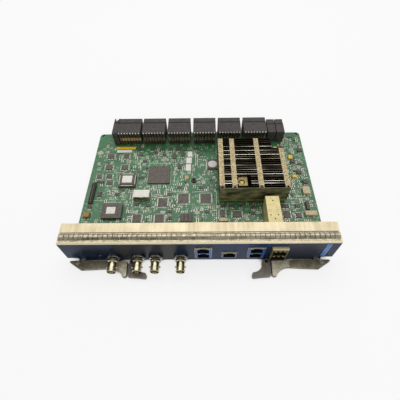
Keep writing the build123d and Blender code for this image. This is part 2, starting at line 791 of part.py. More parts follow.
# Spring screws that pull the heatsink down: shank, coil and wide head
with BuildPart() as spring_screws:
    for x, depth, seat in screw_spots:
        coil_bottom = base_top + seat
        coil_step = spring_length / 4
        waist = spring_screw_radius + 0.6
        head_bottom = coil_bottom + spring_length
        with BuildSketch(Plane(origin=(x, face_y + depth, 0), x_dir=(1, 0, 0), z_dir=(0, -1, 0))):
            with BuildLine():
                Polyline(
                    (0, board_top),
                    (spring_screw_radius, board_top),
                    (spring_screw_radius, coil_bottom),
                    (spring_coil_radius, coil_bottom),
                    (waist, coil_bottom + coil_step),
                    (spring_coil_radius, coil_bottom + 2 * coil_step),
                    (waist, coil_bottom + 3 * coil_step),
                    (spring_coil_radius, head_bottom),
                    (spring_screw_head, head_bottom),
                    (spring_screw_head, head_bottom + 1.6),
                    (spring_screw_head - 0.8, head_bottom + 2.4),
                    (0, head_bottom + 2.4),
                    close=True,
                )
            make_face()
        revolve(axis=Axis((x, face_y + depth, 0), (0, 0, 1)))
save(spring_screws.part, "spring_screws")


# Backplane connector housing: a cover over the wafers and a slotted block past the board
def make_housing(centre):
    with BuildPart() as housing:
        with BuildSketch(across(centre - connector_width / 2)):
            with BuildLine():
                Polyline(
                    (face_y + connector_front, connector_top - connector_cover),
                    (face_y + connector_front, connector_top - 0.6),
                    (face_y + connector_front + 0.6, connector_top),
                    (face_y + connector_step, connector_top),
                    (face_y + connector_step, connector_top - connector_groove_depth),
                    (face_y + connector_step + connector_groove, connector_top - connector_groove_depth),
                    (face_y + connector_step + connector_groove, connector_top - connector_lip),
                    (face_y + rear_reach - 0.6, connector_top - connector_lip),
                    (face_y + rear_reach, connector_top - connector_lip - 0.6),
                    (face_y + rear_reach, 0),
                    (face_y + board_rear + overhang_gap, 0),
                    (face_y + board_rear + overhang_gap, connector_top - connector_cover),
                    close=True,
                )
            make_face()
        extrude(amount=connector_width)
        slot_height = contact_slot_top - contact_slot_bottom
        with Locations((centre, face_y + rear_reach, (contact_slot_top + contact_slot_bottom) / 2)):
            with GridLocations(wafer_pitch, 1, wafer_count, 1):
                Box(contact_slot_width, 2 * contact_slot_depth, slot_height, mode=Mode.SUBTRACT)
    return housing.part


# Wafers: thin moulded plates side by side, each with a stepped front edge
def make_wafers(centre):
    wafer_top = connector_top - connector_cover
    front = face_y + connector_front + wafer_front_gap
    rear = face_y + board_rear
    with BuildPart() as wafers:
        for number in range(wafer_count):
            left = centre + (number - (wafer_count - 1) / 2) * wafer_pitch - wafer_sheet / 2
            with BuildSketch(across(left)):
                with BuildLine():
                    Polyline(
                        (front, board_top),
                        (front, board_top + 6.5),
                        (front + 1.2, board_top + 7.2),
                        (front + 1.2, board_top + 11.6),
                        (front, board_top + 12.3),
                        (front, wafer_top),
                        (rear, wafer_top),
                        (rear, board_top),
                        close=True,
                    )
                make_face()
            extrude(amount=wafer_sheet)
    return wafers.part


for number, centre in enumerate(connector_centres, start=1):
    save(make_housing(centre), "connector_housing_" + str(number))
save(Compound(children=[make_wafers(centre) for centre in connector_centres]), "connector_wafers")

# Guide block at the left end of the connector row, with a notch cut into its rear top
with BuildPart() as guide_block:
    with BuildSketch(across(guide_left)):
        with BuildLine():
            Polyline(
                (face_y + connector_front, board_top),
                (face_y + connector_front, connector_top),
                (face_y + connector_step, connector_top),
                (face_y + rear_reach, connector_top - connector_lip),
                (face_y + rear_reach, 0),
                (face_y + board_rear + overhang_gap, 0),
                (face_y + board_rear + overhang_gap, board_top),
                close=True,
            )
        make_face()
    extrude(amount=guide_right - guide_left)
    with BuildSketch(Plane.XY.offset(board_top + 2)):
        with BuildLine():
            Polyline(
                (guide_left + 1.0, face_y + rear_reach),
                (guide_right - 0.6, face_y + rear_reach),
                ((guide_left + guide_right) / 2 - 0.8, face_y + rear_reach - guide_notch),
                close=True,
            )
        make_face()
    extrude(amount=connector_top, mode=Mode.SUBTRACT)
save(guide_block.part, "guide_block")


# Power contact modules at the right end of the row
def make_power_module(x):
    with BuildPart() as module:
        with BuildSketch(across(x - power_width / 2)):
            with BuildLine():
                Polyline(
                    (face_y + power_front, board_top),
                    (face_y + power_front, power_top),
                    (face_y + connector_step, power_top),
                    (face_y + connector_step, power_overhang_top),
                    (face_y + rear_reach, power_overhang_top),
                    (face_y + rear_reach, 0),
                    (face_y + board_rear + overhang_gap, 0),
                    (face_y + board_rear + overhang_gap, board_top),
                    close=True,
                )
            make_face()
        extrude(amount=power_width)
        with Locations((x, face_y + rear_reach, (board_top + power_overhang_top) / 2 + 1)):
            Box(power_width - 4.0, 2 * contact_slot_depth, 2.6, mode=Mode.SUBTRACT)
        with Locations((x, face_y + rear_reach, board_top + 3)):
            Box(power_width - 4.0, 2 * contact_slot_depth, 2.6, mode=Mode.SUBTRACT)
    return module.part


for number, x in enumerate(power_xs, start=1):
    save(make_power_module(x), "power_module_" + str(number))


# Chips: flat moulded packages standing on the board, by centre, size and height
def make_package(spots, corner):
    with BuildPart() as packages:
        for x, depth, width, length, height in spots:
            with BuildSketch(Plane.XY.offset(board_top)):
                with Locations((x, face_y + depth)):
                    RectangleRounded(width, length, corner)
            extrude(amount=height)
    return packages.part


processor_size = 27.0
upper_row = connector_front - 21.0
second_row = upper_row - 19.2
save(make_package([(-50.2, 111.0, processor_size, processor_size, 2.2)], 0.8), "processor")
save(make_package([(-100.7, 57.5, 23.0, 20.0, 3.4)], 1.2), "boot_memory")
save(make_package([(16.6, 126.6, 13.2, 15.0, 3.0)], 0.6), "clock_chip")
memory_spots = [(-42.9, 70.0, 10.8, 11.6, 1.4), (-18.9, 75.6, 12.4, 13.4, 1.4),
                (7.5, 75.4, 12.4, 13.4, 1.4), (-70.9, 48.0, 9.4, 10.4, 1.9),
                (-45.2, 47.8, 10.2, 10.4, 1.9)]
save(make_package(memory_spots, 0.3), "memory_chips")
logic_spots = [(-115.8, upper_row, 8.0, 7.0, 1.6), (-95.4, upper_row, 7.0, 7.0, 1.6),
               (-115.2, second_row, 8.2, 7.6, 1.6), (-95.0, second_row, 8.0, 7.0, 1.6),
               (11.5 - board_edge, 109.8, 5.6, 6.0, 1.6), (-112.6, 110.2, 6.4, 6.0, 1.6),
               (-110.6, 100.0, 7.2, 6.4, 1.6), (26.4, 54.2, 5.8, 9.2, 1.7),
               (43.2, 53.0, 10.0, 7.6, 1.7), (99.6, 52.4, 7.2, 9.0, 1.7),
               (112.9, 50.7, 5.8, 6.0, 1.7), (99.4, 63.6, 8.2, 4.6, 1.7)]
save(make_package(logic_spots, 0.2), "logic_chips")

# Small parts between the large ones: square chips, long ones and coils
last_row = connector_front - 9.5
left_column = 8.0 - board_edge
small_chips = [(x, last_row) for x in (-76.0, -63.0, -49.0, -38.5, -5.5)]
small_chips += [(x, upper_row + 1.5) for x in (-76.0, -46.0, 2.5)]
small_chips += [(-57.0, upper_row + 5.0), (-70.5, second_row + 10.0), (left_column, 64.5),
                (left_column + 8.0, 101.0), (-99.0, 82.0), (-73.5, 67.5), (-60.0, 66.0),
                (-35.5, 81.5), (-24.5, 91.5), (1.5, 91.5), (-34.5, 57.0), (-33.5, 48.5),
                (8.5, 56.5), (27.0, 64.5), (37.5, 64.5), (48.0, 64.5), (62.0, 62.5),
                (61.5, 54.0), (board_edge - 23.0, 63.5), (board_edge - 9.0, 127.0)]
long_chips = [(-32.5, upper_row - 2.0), (-22.0, upper_row + 2.0), (-25.5, second_row),
              (left_column + 8.5, 82.5)]
coils = [(-28.0, last_row), (board_edge - 17.5, 131.0), (board_edge - 12.5, 113.0), (board_edge - 7.5, 98.0),
         (board_edge - 5.5, 150.0)]
with BuildPart() as chip_components:
    for places, width, length, height in (
            (small_chips, 4.4, 4.0, 1.5), (long_chips, 4.2, 7.0, 1.8), (coils, 5.4, 5.2, 2.5)):
        for x, depth in places:
            block(x - width / 2, x + width / 2, depth - length / 2, depth + length / 2,
                  board_top, board_top + height)
save(chip_components.part, "chip_components")

# Socketed chip: a square socket with a floor, the chip standing in it
socket_place = (-88.2, face_y + 101.6)
socket_width, socket_length = 21.0, 19.6
socket_wall = 1.8
socket_floor = 1.2
socket_gap = 0.2
socket_height = 4.0
with BuildPart() as chip_socket:
    with BuildSketch(Plane.XY.offset(board_top)):
        with Locations(socket_place):
            RectangleRounded(socket_width, socket_length, 1.0)
    extrude(amount=socket_height)
    with BuildSketch(Plane.XY.offset(board_top + socket_floor)):
        with Locations(socket_place):
            Rectangle(socket_width - 2 * socket_wall, socket_length - 2 * socket_wall)
    extrude(amount=socket_height, mode=Mode.SUBTRACT)
save(chip_socket.part, "chip_socket")

chip_inset = 2 * (socket_wall + socket_gap)
with BuildPart() as socket_chip:
    with BuildSketch(Plane.XY.offset(board_top + socket_floor)):
        with Locations(socket_place):
            RectangleRounded(socket_width - chip_inset, socket_length - chip_inset, 0.6)
    extrude(amount=3.6)
    chamfer(socket_chip.edges().group_by(Axis.Z)[-1], length=0.3)
save(socket_chip.part, "socket_chip")

# Oscillator can on four feet
with BuildPart() as oscillator_can:
    with BuildSketch(Plane.XY.offset(board_top + 0.8)):
        with Locations((-68.0, face_y + 78.0)):
            RectangleRounded(19.4, 11.4, 1.0)
    extrude(amount=7.2)
    fillet(oscillator_can.edges().group_by(Axis.Z)[-1], radius=0.5)
    with BuildSketch(Plane.XY.offset(board_top)):
        with Locations((-68.0, face_y + 78.0)):
            with GridLocations(14.0, 7.0, 2, 2):
                Circle(0.8)
    extrude(amount=0.8)
save(oscillator_can.part, "oscillator_can")

# Line transformer block with three ribs on its top
with BuildPart() as line_transformer:
    with BuildSketch(Plane.XY.offset(board_top)):
        with Locations((-14.6, face_y + 47.4)):
            RectangleRounded(13.6, 11.6, 0.5)
    extrude(amount=2.4)
    with BuildSketch(Plane.XY.offset(board_top + 2.4)):
        with Locations((-14.6, face_y + 47.4)):
            with GridLocations(4.4, 1, 3, 1):
                Rectangle(3.0, 10.8)
    extrude(amount=1.6)
save(line_transformer.part, "line_transformer")

# Pin header along the left side: a low base with two rows of square pins
header_pitch = 2.54
header_pins = 12
header_x = 8.1 - board_edge
with BuildPart() as pin_header:
    with BuildSketch(Plane.XY.offset(board_top)):
        with Locations((header_x, face_y + 84.0)):
            Rectangle(5.0, header_pins * header_pitch)
    extrude(amount=2.5)
    with BuildSketch(Plane.XY.offset(board_top + 2.5)):
        with Locations((header_x, face_y + 84.0)):
            with GridLocations(header_pitch, header_pitch, 2, header_pins):
                Rectangle(0.64, 0.64)
    extrude(amount=3.5)
save(pin_header.part, "pin_header")

# Capacitors, inductors, coil and crystal
save(make_package([(7.5 - board_edge, 52.4, 7.0, 6.6, 4.0), (board_edge - 19.7, 137.9, 4.6, 5.6, 2.6),
                   (board_edge - 19.5, 106.6, 5.2, 3.8, 2.6)], 0.3), "tantalum_capacitors")
save(make_package([(board_edge - 9.6, 84.4, 8.2, 10.0, 4.0)], 1.6), "power_inductor")
save(make_package([(board_edge - 11.7, 63.2, 3.8, 11.6, 4.0)], 0.8), "power_diode")
save(make_package([(board_edge - 10.1, 52.2, 13.0, 5.6, 4.0)], 0.3), "line_fuse")
save(make_package([(27.2, 44.6, 10.0, 3.8, 3.2)], 1.8), "crystal")

# Board standoff near the middle, with its screw recess
with BuildPart() as board_standoff:
    with BuildSketch(Plane.XY.offset(board_top)):
        with Locations((-6.8, face_y + 101.8)):
            Circle(3.2)
            Circle(1.5, mode=Mode.SUBTRACT)
    extrude(amount=2.6)
save(board_standoff.part, "board_standoff")

print("nodes", len(written))
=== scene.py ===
# %% [markdown]
# # A plug-in router card, dressed
# The CAD solids give this card its sheet metal, connectors, levers and large chips. This lesson adds what
# makes it look real: finishes, solder-mounted parts, contacts, labels and print. All sizes are real ones.
# Lengths are written in millimetres and turned to metres by one factor, because Blender's frame is metres.

import json
import math
import random

import bpy
import bmesh
from mathutils import Matrix, Vector


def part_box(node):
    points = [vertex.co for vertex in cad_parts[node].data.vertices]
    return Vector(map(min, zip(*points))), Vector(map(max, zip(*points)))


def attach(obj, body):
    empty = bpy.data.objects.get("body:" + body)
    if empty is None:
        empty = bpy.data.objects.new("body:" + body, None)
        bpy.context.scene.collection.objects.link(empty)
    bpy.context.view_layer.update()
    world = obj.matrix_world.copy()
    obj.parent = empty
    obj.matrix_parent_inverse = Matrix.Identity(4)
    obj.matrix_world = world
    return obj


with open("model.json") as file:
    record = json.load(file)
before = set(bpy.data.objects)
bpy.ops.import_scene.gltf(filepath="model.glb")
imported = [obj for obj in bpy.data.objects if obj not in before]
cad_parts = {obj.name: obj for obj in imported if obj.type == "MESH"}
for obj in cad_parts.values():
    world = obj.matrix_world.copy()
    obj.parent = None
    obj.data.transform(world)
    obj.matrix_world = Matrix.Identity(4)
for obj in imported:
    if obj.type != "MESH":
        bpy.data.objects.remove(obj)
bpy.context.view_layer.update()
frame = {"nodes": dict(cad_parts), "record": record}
record = frame["record"]
MM = 0.001
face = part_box("front_panel")[0].y / MM
board_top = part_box("circuit_board")[1].z / MM
print("nodes", len(frame["nodes"]), "face at", round(face, 2), "board top at", round(board_top, 2))


# %% [markdown]
# ## Small helpers
# A depth is measured from the panel's outer side to the rear, as a fitter would measure it, so one
# function turns a position on the card into Blender's metres. Two more ask the frame where a solid's
# middle and top are. Colours are picked as sRGB hex values, the way a colour chart gives them, and one
# function makes them linear, which is what the shaders need.

# %% Places and colours
def spot(x, depth, z):
    return Vector((x * MM, (face + depth) * MM, z * MM))


def middle_of(node_name):
    low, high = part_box(node_name)
    return (low.x + high.x) / 2 / MM


def top_of(node_name):
    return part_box(node_name)[1].z / MM


def linear(shade):
    channels = [int(shade[i:i + 2], 16) / 255 for i in (1, 3, 5)]
    return [c / 12.92 if c <= 0.04045 else ((c + 0.055) / 1.055) ** 2.4 for c in channels] + [1.0]


print("a mid grey is", round(linear("#808080")[0], 3), "in linear light")


# %% [markdown]
# ## How a finish is wired
# Every finish below is a Principled shader fed by a few nodes. One function adds a node, sets it and
# links it. A second one starts a finish and hands back the shader and the Object coordinates, which stay
# glued to the part when it moves. The others build what most finishes need from several nodes each:
# blotches, a colour that wanders between two shades, a fine relief, masks for spots and zones, and one
# coat laid over another. They take their sizes in millimetres.

# %% Node helpers
def add_node(tree, kind, inputs=(), settings=(), ramp=()):
    made = tree.nodes.new("ShaderNode" + kind)
    for key, value in dict(settings).items():
        setattr(made, key, value)
    for number, (position, shade) in enumerate(ramp):
        stops = made.color_ramp.elements
        stop = stops[number] if number < len(stops) else stops.new(position)
        stop.position = position
        stop.color = linear(shade)
    for key, value in dict(inputs).items():
        if isinstance(value, bpy.types.NodeSocket):
            tree.links.new(value, made.inputs[key])
        else:
            made.inputs[key].default_value = value
    return made


def start_finish(name, roughness, metallic=0.0, ior=None):
    material = bpy.data.materials.new(name)
    material.use_nodes = True
    tree = material.node_tree
    tree.nodes.clear()
    shader = add_node(tree, "BsdfPrincipled", {"Roughness": roughness, "Metallic": metallic})
    if ior:
        shader.inputs["IOR"].default_value = ior
    add_node(tree, "OutputMaterial", {"Surface": shader.outputs["BSDF"]})
    place = add_node(tree, "TexCoord").outputs["Object"]
    return material, tree, shader, place


def blotches(tree, place, size, detail, squeeze=None):
    """Soft blotches of one size. A place squeezed along an axis draws them out into streaks there."""
    if squeeze:
        place = add_node(tree, "Mapping", {"Vector": place, "Scale": squeeze}).outputs["Vector"]
    noise = add_node(tree, "TexNoise", {"Vector": place, "Scale": 1 / (size * MM), "Detail": detail})
    return noise.outputs["Fac"]


def patches(tree, place, size, dark, light, spread=0.12, squeeze=None):
    noise = blotches(tree, place, size, 3.0, squeeze)
    ramp = add_node(tree, "ValToRGB", {"Fac": noise}, ramp=((0.5 - spread, dark), (0.5 + spread, light)))
    return ramp.outputs["Color"]


def relief(tree, shader, place, size, depth, strength=0.5):
    noise = blotches(tree, place, size, 2.0)
    bump = add_node(tree, "Bump", {"Height": noise, "Distance": depth * MM, "Strength": strength})
    tree.links.new(bump.outputs["Normal"], shader.inputs["Normal"])


def fleck_mask(tree, place, size, low, high, squeeze=None):
    """0 where a noise of this size is under low, 1 over high: for spots, wear and gaps."""
    noise = blotches(tree, place, size, 1.5, squeeze)
    return add_node(tree, "MapRange", {"Value": noise, "From Min": low, "From Max": high}).outputs["Result"]


def laid_over(tree, below, above, mask, share=None):
    """One coat laid over another where the mask is 1, or at a share of its strength."""
    if share is not None:
        mask = add_node(tree, "Math", {0: mask, 1: share}, {"operation": "MULTIPLY"}).outputs[0]
    return add_node(tree, "Mix", {0: mask, 6: below, 7: above}, {"data_type": "RGBA"}).outputs[2]


def all_of(tree, first, *others):
    """A mask that is 1 only where every one of these masks is 1."""
    for other in others:
        first = add_node(tree, "Math", {0: first, 1: other}, {"operation": "MULTIPLY"}).outputs[0]
    return first


def band_scale(period):
    """Blender's wave bands repeat every pi / 10 at scale 1."""
    return math.pi / 10 / (period * MM)


def step_at(tree, value, edge, soft):
    """0 below the edge and 1 above it, over a short soft run, with all three in millimetres."""
    span = {"Value": value, "From Min": (edge - soft) * MM, "From Max": (edge + soft) * MM}
    return add_node(tree, "MapRange", span).outputs["Result"]


def between_steps(tree, depth_out, front, rear, soft):
    """1 from one depth to another and 0 outside, both measured from the face in millimetres."""
    started = step_at(tree, depth_out, face + front, soft)
    ended = step_at(tree, depth_out, face + rear, soft)
    return add_node(tree, "Math", {0: started, 1: ended}, {"operation": "SUBTRACT"}).outputs[0]


finishes = {}
print("helpers ready")


# %% [markdown]
# ## Panel sheet: plated steel with a printed dark blue face
# The panel is one folded sheet of plated steel. Its outer face carries a glossy dark blue film, and the
# fold, flange and returns are bare. The film ends where the fold starts, so the split is made from the
# place on the part: in front of the sheet's middle and below the fold it is film, else plating. Faint
# upright streaks and two greyer spans in the film and rubbed marks in the plating keep both from
# looking like plain paint. The low specular level is the film's: it is less glossy than bare lacquer.

# %% Panel finish
material, tree, shader, place = start_finish("panel_plating_and_film", 0.3, ior=1.5)
shader.inputs["Specular IOR Level"].default_value = 0.12
x_out, y_out, z_out = add_node(tree, "SeparateXYZ", {"Vector": place}).outputs[0:3]
plating = patches(tree, place, 14.0, "#D9C9A2", "#EFE1BF", 0.16)
rubbed = patches(tree, place, 3.4, "#A8966E", "#F4EAD0", 0.12, squeeze=(1.0, 0.04, 0.04))
bare = laid_over(tree, plating, rubbed, 0.22)
grit = fleck_mask(tree, place, 0.9, 0.56, 0.74)
# The bare sheet is made lighter over its front 3.2 mm, along the fold.
fold_rear = (face + 3.2) * MM
fold_front_band = add_node(tree, "Math", {0: y_out, 1: fold_rear}, {"operation": "LESS_THAN"}).outputs[0]
bare = laid_over(tree, bare, linear("#FFF2D0"), fold_front_band, 0.5)
bare = laid_over(tree, bare, linear("#9C8B64"), grit, 0.3)
film = patches(tree, place, 75.0, "#0B1017", "#17305A", 0.14)
streaks = patches(tree, place, 3.0, "#0B1018", "#25405F", 0.22, squeeze=(1.0, 0.3, 0.25))
film = laid_over(tree, film, streaks, 0.35)
# Two spans across the film are made greyer.
grey_zones = ((-84.0, -24.0), (90.0, 122.0))
for left, right in grey_zones:
    from_left, to_right = step_at(tree, x_out, left, 3.0), step_at(tree, x_out, right, 3.0)
    greyer_zone = add_node(tree, "Math", {0: from_left, 1: to_right}, {"operation": "SUBTRACT"}).outputs[0]
    film = laid_over(tree, film, linear("#3D3B33"), greyer_zone, 0.6)
sheet_middle, film_top = 0.35, 36.2
behind_film = step_at(tree, y_out, face + sheet_middle, 0.02)
above_film = step_at(tree, z_out, film_top, 0.05)
is_bare = add_node(tree, "Math", {0: behind_film, 1: above_film}, {"operation": "MAXIMUM"}).outputs[0]
tree.links.new(laid_over(tree, film, bare, is_bare), shader.inputs["Base Color"])
metal = add_node(tree, "Math", {0: is_bare, 1: 0.6}, {"operation": "MULTIPLY"}).outputs[0]
tree.links.new(metal, shader.inputs["Metallic"])
dullness = add_node(tree, "MapRange", {"Value": is_bare, "To Min": 0.3, "To Max": 0.5}).outputs["Result"]
tree.links.new(dullness, shader.inputs["Roughness"])
relief(tree, shader, place, 1.2, 0.02, 0.25)
finishes["panel_steel"] = material
print("panel finish has", len(tree.nodes), "nodes")


# %% [markdown]
# ## Spring strip: tinned fingers on the flange
# The crest of each finger is worn tin. The front slope is darker, in streaks that run up the fingers
# and stop at the gaps, the rear slope has a painted cool reflection and the rear end a painted brown shadow.

# %% Spring strip, darker on its front slope, with a painted reflection and a painted shadow further back
material, tree, shader, place = start_finish("tinned_spring_alloy", 0.32, 0.8)
x_out, y_out, z_out = add_node(tree, "SeparateXYZ", {"Vector": place}).outputs[0:3]
tinned = patches(tree, place, 4.0, "#887F66", "#C8BFA7", 0.2)
slope_streaks = patches(tree, place, 2.4, "#625C4A", "#AFA891", 0.2, squeeze=(0.12, 1.0, 1.0))
slope_front, slope_rear, finger_pitch = 3.4, 5.7, 4.7625
slope = between_steps(tree, y_out, slope_front, slope_rear, 0.2)
from_gap = add_node(tree, "Math", {0: x_out, 1: finger_pitch * MM}, {"operation": "PINGPONG"}).outputs[0]
on_finger = step_at(tree, from_gap, 0.45, 0.1)
strip_shades = laid_over(tree, tinned, slope_streaks, all_of(tree, slope, on_finger))
# Painted cool blue reflection on the rear slope of the fingers.
painted_blue_reflection = patches(tree, place, 2.6, "#7C95C8", "#DCDFE6", 0.1, squeeze=(0.3, 1.0, 1.0))
rear_slope_front, rear_slope_rear, strip_end = 9.3, 10.7, 11.5
on_rear_slope = between_steps(tree, y_out, rear_slope_front, rear_slope_rear, 0.1)
strip_shades = laid_over(tree, strip_shades, painted_blue_reflection, on_rear_slope)
# Painted brown shadow along the strip's rear end.
painted_end_shadow = step_at(tree, y_out, face + strip_end, 0.1)
tree.links.new(laid_over(tree, strip_shades, linear("#4B3F28"), painted_end_shadow), shader.inputs["Base Color"])
relief(tree, shader, place, 0.5, 0.02, 0.3)
finishes["spring_alloy"] = material
print("strip finish has", len(tree.nodes), "nodes")


# %% [markdown]
# ## Board: solder resist over glass laminate
# A printed board is green because of its solder resist, a glossy lacquer. Copper tracks under it show as
# lighter lines, here in square fields that run one way or the other, holes as pale dots, and the white
# print as small broken flecks. The cut edges show the bare yellow-green laminate, and the two holes near
# the rear corners get painted shade inside and round their rims. Tracks are near 0.3 mm apart on the
# real one, and are drawn 1.1 mm apart so that they show.

# %% Board finish
material, tree, shader, place = start_finish("solder_resist_on_laminate", 0.33, ior=1.52)
x_out, y_out, z_out = add_node(tree, "SeparateXYZ", {"Vector": place}).outputs[0:3]
resist = patches(tree, place, 30.0, "#286038", "#387648", 0.16)
field_size, track_pitch, hole_pitch = 13.0, 1.1, 2.2
field_cells = {"Vector": place, "Scale": 1 / (field_size * MM)}
fields = add_node(tree, "TexVoronoi", field_cells, {"distance": "CHEBYCHEV"})
field_red, field_green = add_node(tree, "SeparateColor", {"Color": fields.outputs["Color"]}).outputs[0:2]
waves = {"Vector": place, "Scale": band_scale(track_pitch), "Distortion": 0.6}
along, upright = [add_node(tree, "TexWave", waves, {"bands_direction": way}).outputs["Fac"] for way in "XY"]
turned = add_node(tree, "Math", {0: field_red, 1: 0.5}, {"operation": "GREATER_THAN"}).outputs[0]
lines = add_node(tree, "Mix", {0: turned, 2: along, 3: upright}).outputs[0]
drawn = add_node(tree, "MapRange", {"Value": lines, "From Min": 0.7, "From Max": 0.85}).outputs["Result"]
routed = add_node(tree, "Math", {0: field_green, 1: 0.4}, {"operation": "GREATER_THAN"}).outputs[0]
tracked = laid_over(tree, resist, linear("#5E9A6A"), all_of(tree, drawn, routed), 0.2)
holes = add_node(tree, "TexVoronoi", {"Vector": place, "Scale": 1 / (hole_pitch * MM)})
dots = add_node(tree, "MapRange", {"Value": holes.outputs["Distance"], "From Min": 0.13, "From Max": 0.17,
                                   "To Min": 1.0, "To Max": 0.0}).outputs["Result"]
crowded = fleck_mask(tree, place, 10.0, 0.45, 0.55)
dotted = laid_over(tree, tracked, linear("#B4C29E"), all_of(tree, dots, crowded), 0.4)
print_flecks = all_of(tree, fleck_mask(tree, place, 1.6, 0.6, 0.63, squeeze=(0.6, 1.0, 1.0)), crowded)
printed = laid_over(tree, dotted, linear("#C4CEAE"), print_flecks, 0.45)
resist_depth = 0.04
on_top = step_at(tree, z_out, board_top - resist_depth, 0.01)
surfaced = laid_over(tree, linear("#8F9A63"), printed, on_top)
hole_mount = [one for one in record["mounts"] if one["name"] == "rear_edge_holes"][0]
hole_x, hole_y = hole_mount["dims"]["spacing_x_mm"] / 2, hole_mount["pos_m"][1] / MM
mirrored = add_node(tree, "Math", {0: x_out}, {"operation": "ABSOLUTE"}).outputs[0]
flat_place = add_node(tree, "CombineXYZ", {"X": mirrored, "Y": y_out}).outputs["Vector"]
hole_centre = (hole_x * MM, hole_y * MM, 0)
from_hole = add_node(tree, "VectorMath", {0: flat_place, 1: hole_centre}, {"operation": "DISTANCE"})
# Painted shade inside the two rear corner holes and round their rims.
hole_shade_radius = 2.0
outside_hole_shade = step_at(tree, from_hole.outputs["Value"], hole_shade_radius, 0.15)
tree.links.new(laid_over(tree, linear("#14170F"), surfaced, outside_hole_shade), shader.inputs["Base Color"])
relief(tree, shader, place, 1.1, 0.03, 0.25)
finishes["board_laminate"] = material
print("board finish has", len(tree.nodes), "nodes")


# %% [markdown]
# ## Metals
# Each metal here starts from its plating. Nickel on brass is warm and fairly sharp, and the nuts carry a
# painted blue reflection. Tin is soft and cream, the cast lever alloy is satin and blotched from handling,
# and its paler grip pads carry a painted highlight. The cage is bright outside, with painted shade on its
# front walls and inside the bays, and the fins are thin rolled sheet with a painted highlight on their cut
# top edges, painted shade on the fins behind the first and a painted reflection of the board on the first
# one. All keep the default IOR, and they differ by colours, patch size and roughness.

# %% Plain metals
metals = {
    "plated_steel": ("nickel_plated_steel", 0.32, 0.9, 3.0, "#ABA389", "#E4DCC4", 0.8),
    "black_steel": ("blackened_steel", 0.45, 0.6, 1.5, "#17181A", "#34353A", 0.8),
    "nickel_brass": ("nickel_plated_brass", 0.16, 1.0, 5.0, "#958B70", "#D8CEB0", 0.6),
    # The nuts' blue-grey is a painted reflection of the blue face film.
    "nut_blue_reflection": ("nickel_nut_painted_blue_reflection", 0.28, 1.0, 2.0, "#4F5665", "#9AA0AC", 0.5),
    "gilt_brass": ("gilt_contact_brass", 0.22, 1.0, 1.0, "#C49A3C", "#F0CE7A", 0.4),
    "tinned_steel": ("tinned_sheet_steel", 0.45, 0.5, 6.0, "#CDBD88", "#E3D6A6", 0.7),
    "sink_base_metal": ("brazed_heat_plate", 0.4, 0.3, 3.0, "#857642", "#BBA868", 0.8),
    "can_metal": ("drawn_nickel_can", 0.2, 1.0, 4.0, "#8F8772", "#D9D1BC", 0.7),
    "solder_tin": ("reflowed_solder", 0.35, 0.6, 0.8, "#C6C2B4", "#F6F3E8", 0.3),
    "bright_gilt": ("bright_gilt_contact", 0.35, 0.35, 1.0, "#C9A348", "#FBEFC0", 0.3),
    "dull_tin": ("dull_tin_contact", 0.5, 0.4, 1.0, "#6E6A5C", "#BDB7A4", 0.3),
    "pale_tin": ("pale_solder_tin", 0.5, 0.1, 1.6, "#A9A792", "#F2EFDF", 0.4),
    "spring_screw_steel": ("yellow_zinc_steel", 0.3, 0.9, 1.5, "#6E5F33", "#C2AE73", 0.5),
}
for slot_name, (name, roughness, metallic, patch, dark, light, grain) in metals.items():
    material, tree, shader, place = start_finish(name, roughness, metallic)
    tree.links.new(patches(tree, place, patch, dark, light, 0.18), shader.inputs["Base Color"])
    relief(tree, shader, place, grain, 0.02, 0.25)
    finishes[slot_name] = material
print("metals", len(metals))

# %% Cast levers, speckled, with a paler grip pad lightened further by a painted highlight
material, tree, shader, place = start_finish("cast_lever_alloy", 0.48, 0.45)
x_out, y_out, z_out = add_node(tree, "SeparateXYZ", {"Vector": place}).outputs[0:3]
arm = patches(tree, place, 7.0, "#55503F", "#948C74", 0.2)
# The grip pad is paler, and lightened further as a painted highlight.
grip_pad_and_highlight = patches(tree, place, 5.0, "#B2A88F", "#DED7C3", 0.2)
arm_top = 4.6
cast = laid_over(tree, arm, grip_pad_and_highlight, step_at(tree, z_out, arm_top, 0.05))
speckle = fleck_mask(tree, place, 0.9, 0.5, 0.68)
cast = laid_over(tree, cast, linear("#A8A08A"), speckle, 0.45)
pits = fleck_mask(tree, place, 1.3, 0.55, 0.7, squeeze=(1.0, 1.0, 0.5))
tree.links.new(laid_over(tree, cast, linear("#35322A"), pits, 0.4), shader.inputs["Base Color"])
relief(tree, shader, place, 0.9, 0.03, 0.3)
finishes["lever_alloy"] = material
print("lever finish has", len(tree.nodes), "nodes")

# %% Cage sheet, bright outside, with painted shade on its front walls and inside the bays
material, tree, shader, place = start_finish("tinned_cage_sheet", 0.45, 0.4)
x_out, y_out, z_out = add_node(tree, "SeparateXYZ", {"Vector": place}).outputs[0:3]
tinned = patches(tree, place, 5.0, "#CDBC84", "#DDCF9B", 0.2)
cage_middle = middle_of("transceiver_cage") * MM
offset = add_node(tree, "Math", {0: x_out, 1: cage_middle}, {"operation": "SUBTRACT"}).outputs[0]
sideways = add_node(tree, "Math", {0: offset}, {"operation": "ABSOLUTE"}).outputs[0]
bay_half_width, roof_underside, lip_underside, lip_depth = 7.1, 24.9, 27.4, 2.8
within = add_node(tree, "Math", {0: sideways, 1: bay_half_width * MM}, {"operation": "LESS_THAN"}).outputs[0]
under_roof = add_node(tree, "Math", {0: z_out, 1: roof_underside * MM}, {"operation": "LESS_THAN"}).outputs[0]
behind_lip = step_at(tree, y_out, face - lip_depth, 0.05)
painted_bay_shade = all_of(tree, within, under_roof, behind_lip)
under_lip = add_node(tree, "Math", {0: z_out, 1: lip_underside * MM}, {"operation": "LESS_THAN"}).outputs[0]
before_panel = add_node(tree, "Math", {0: y_out, 1: face * MM}, {"operation": "LESS_THAN"}).outputs[0]
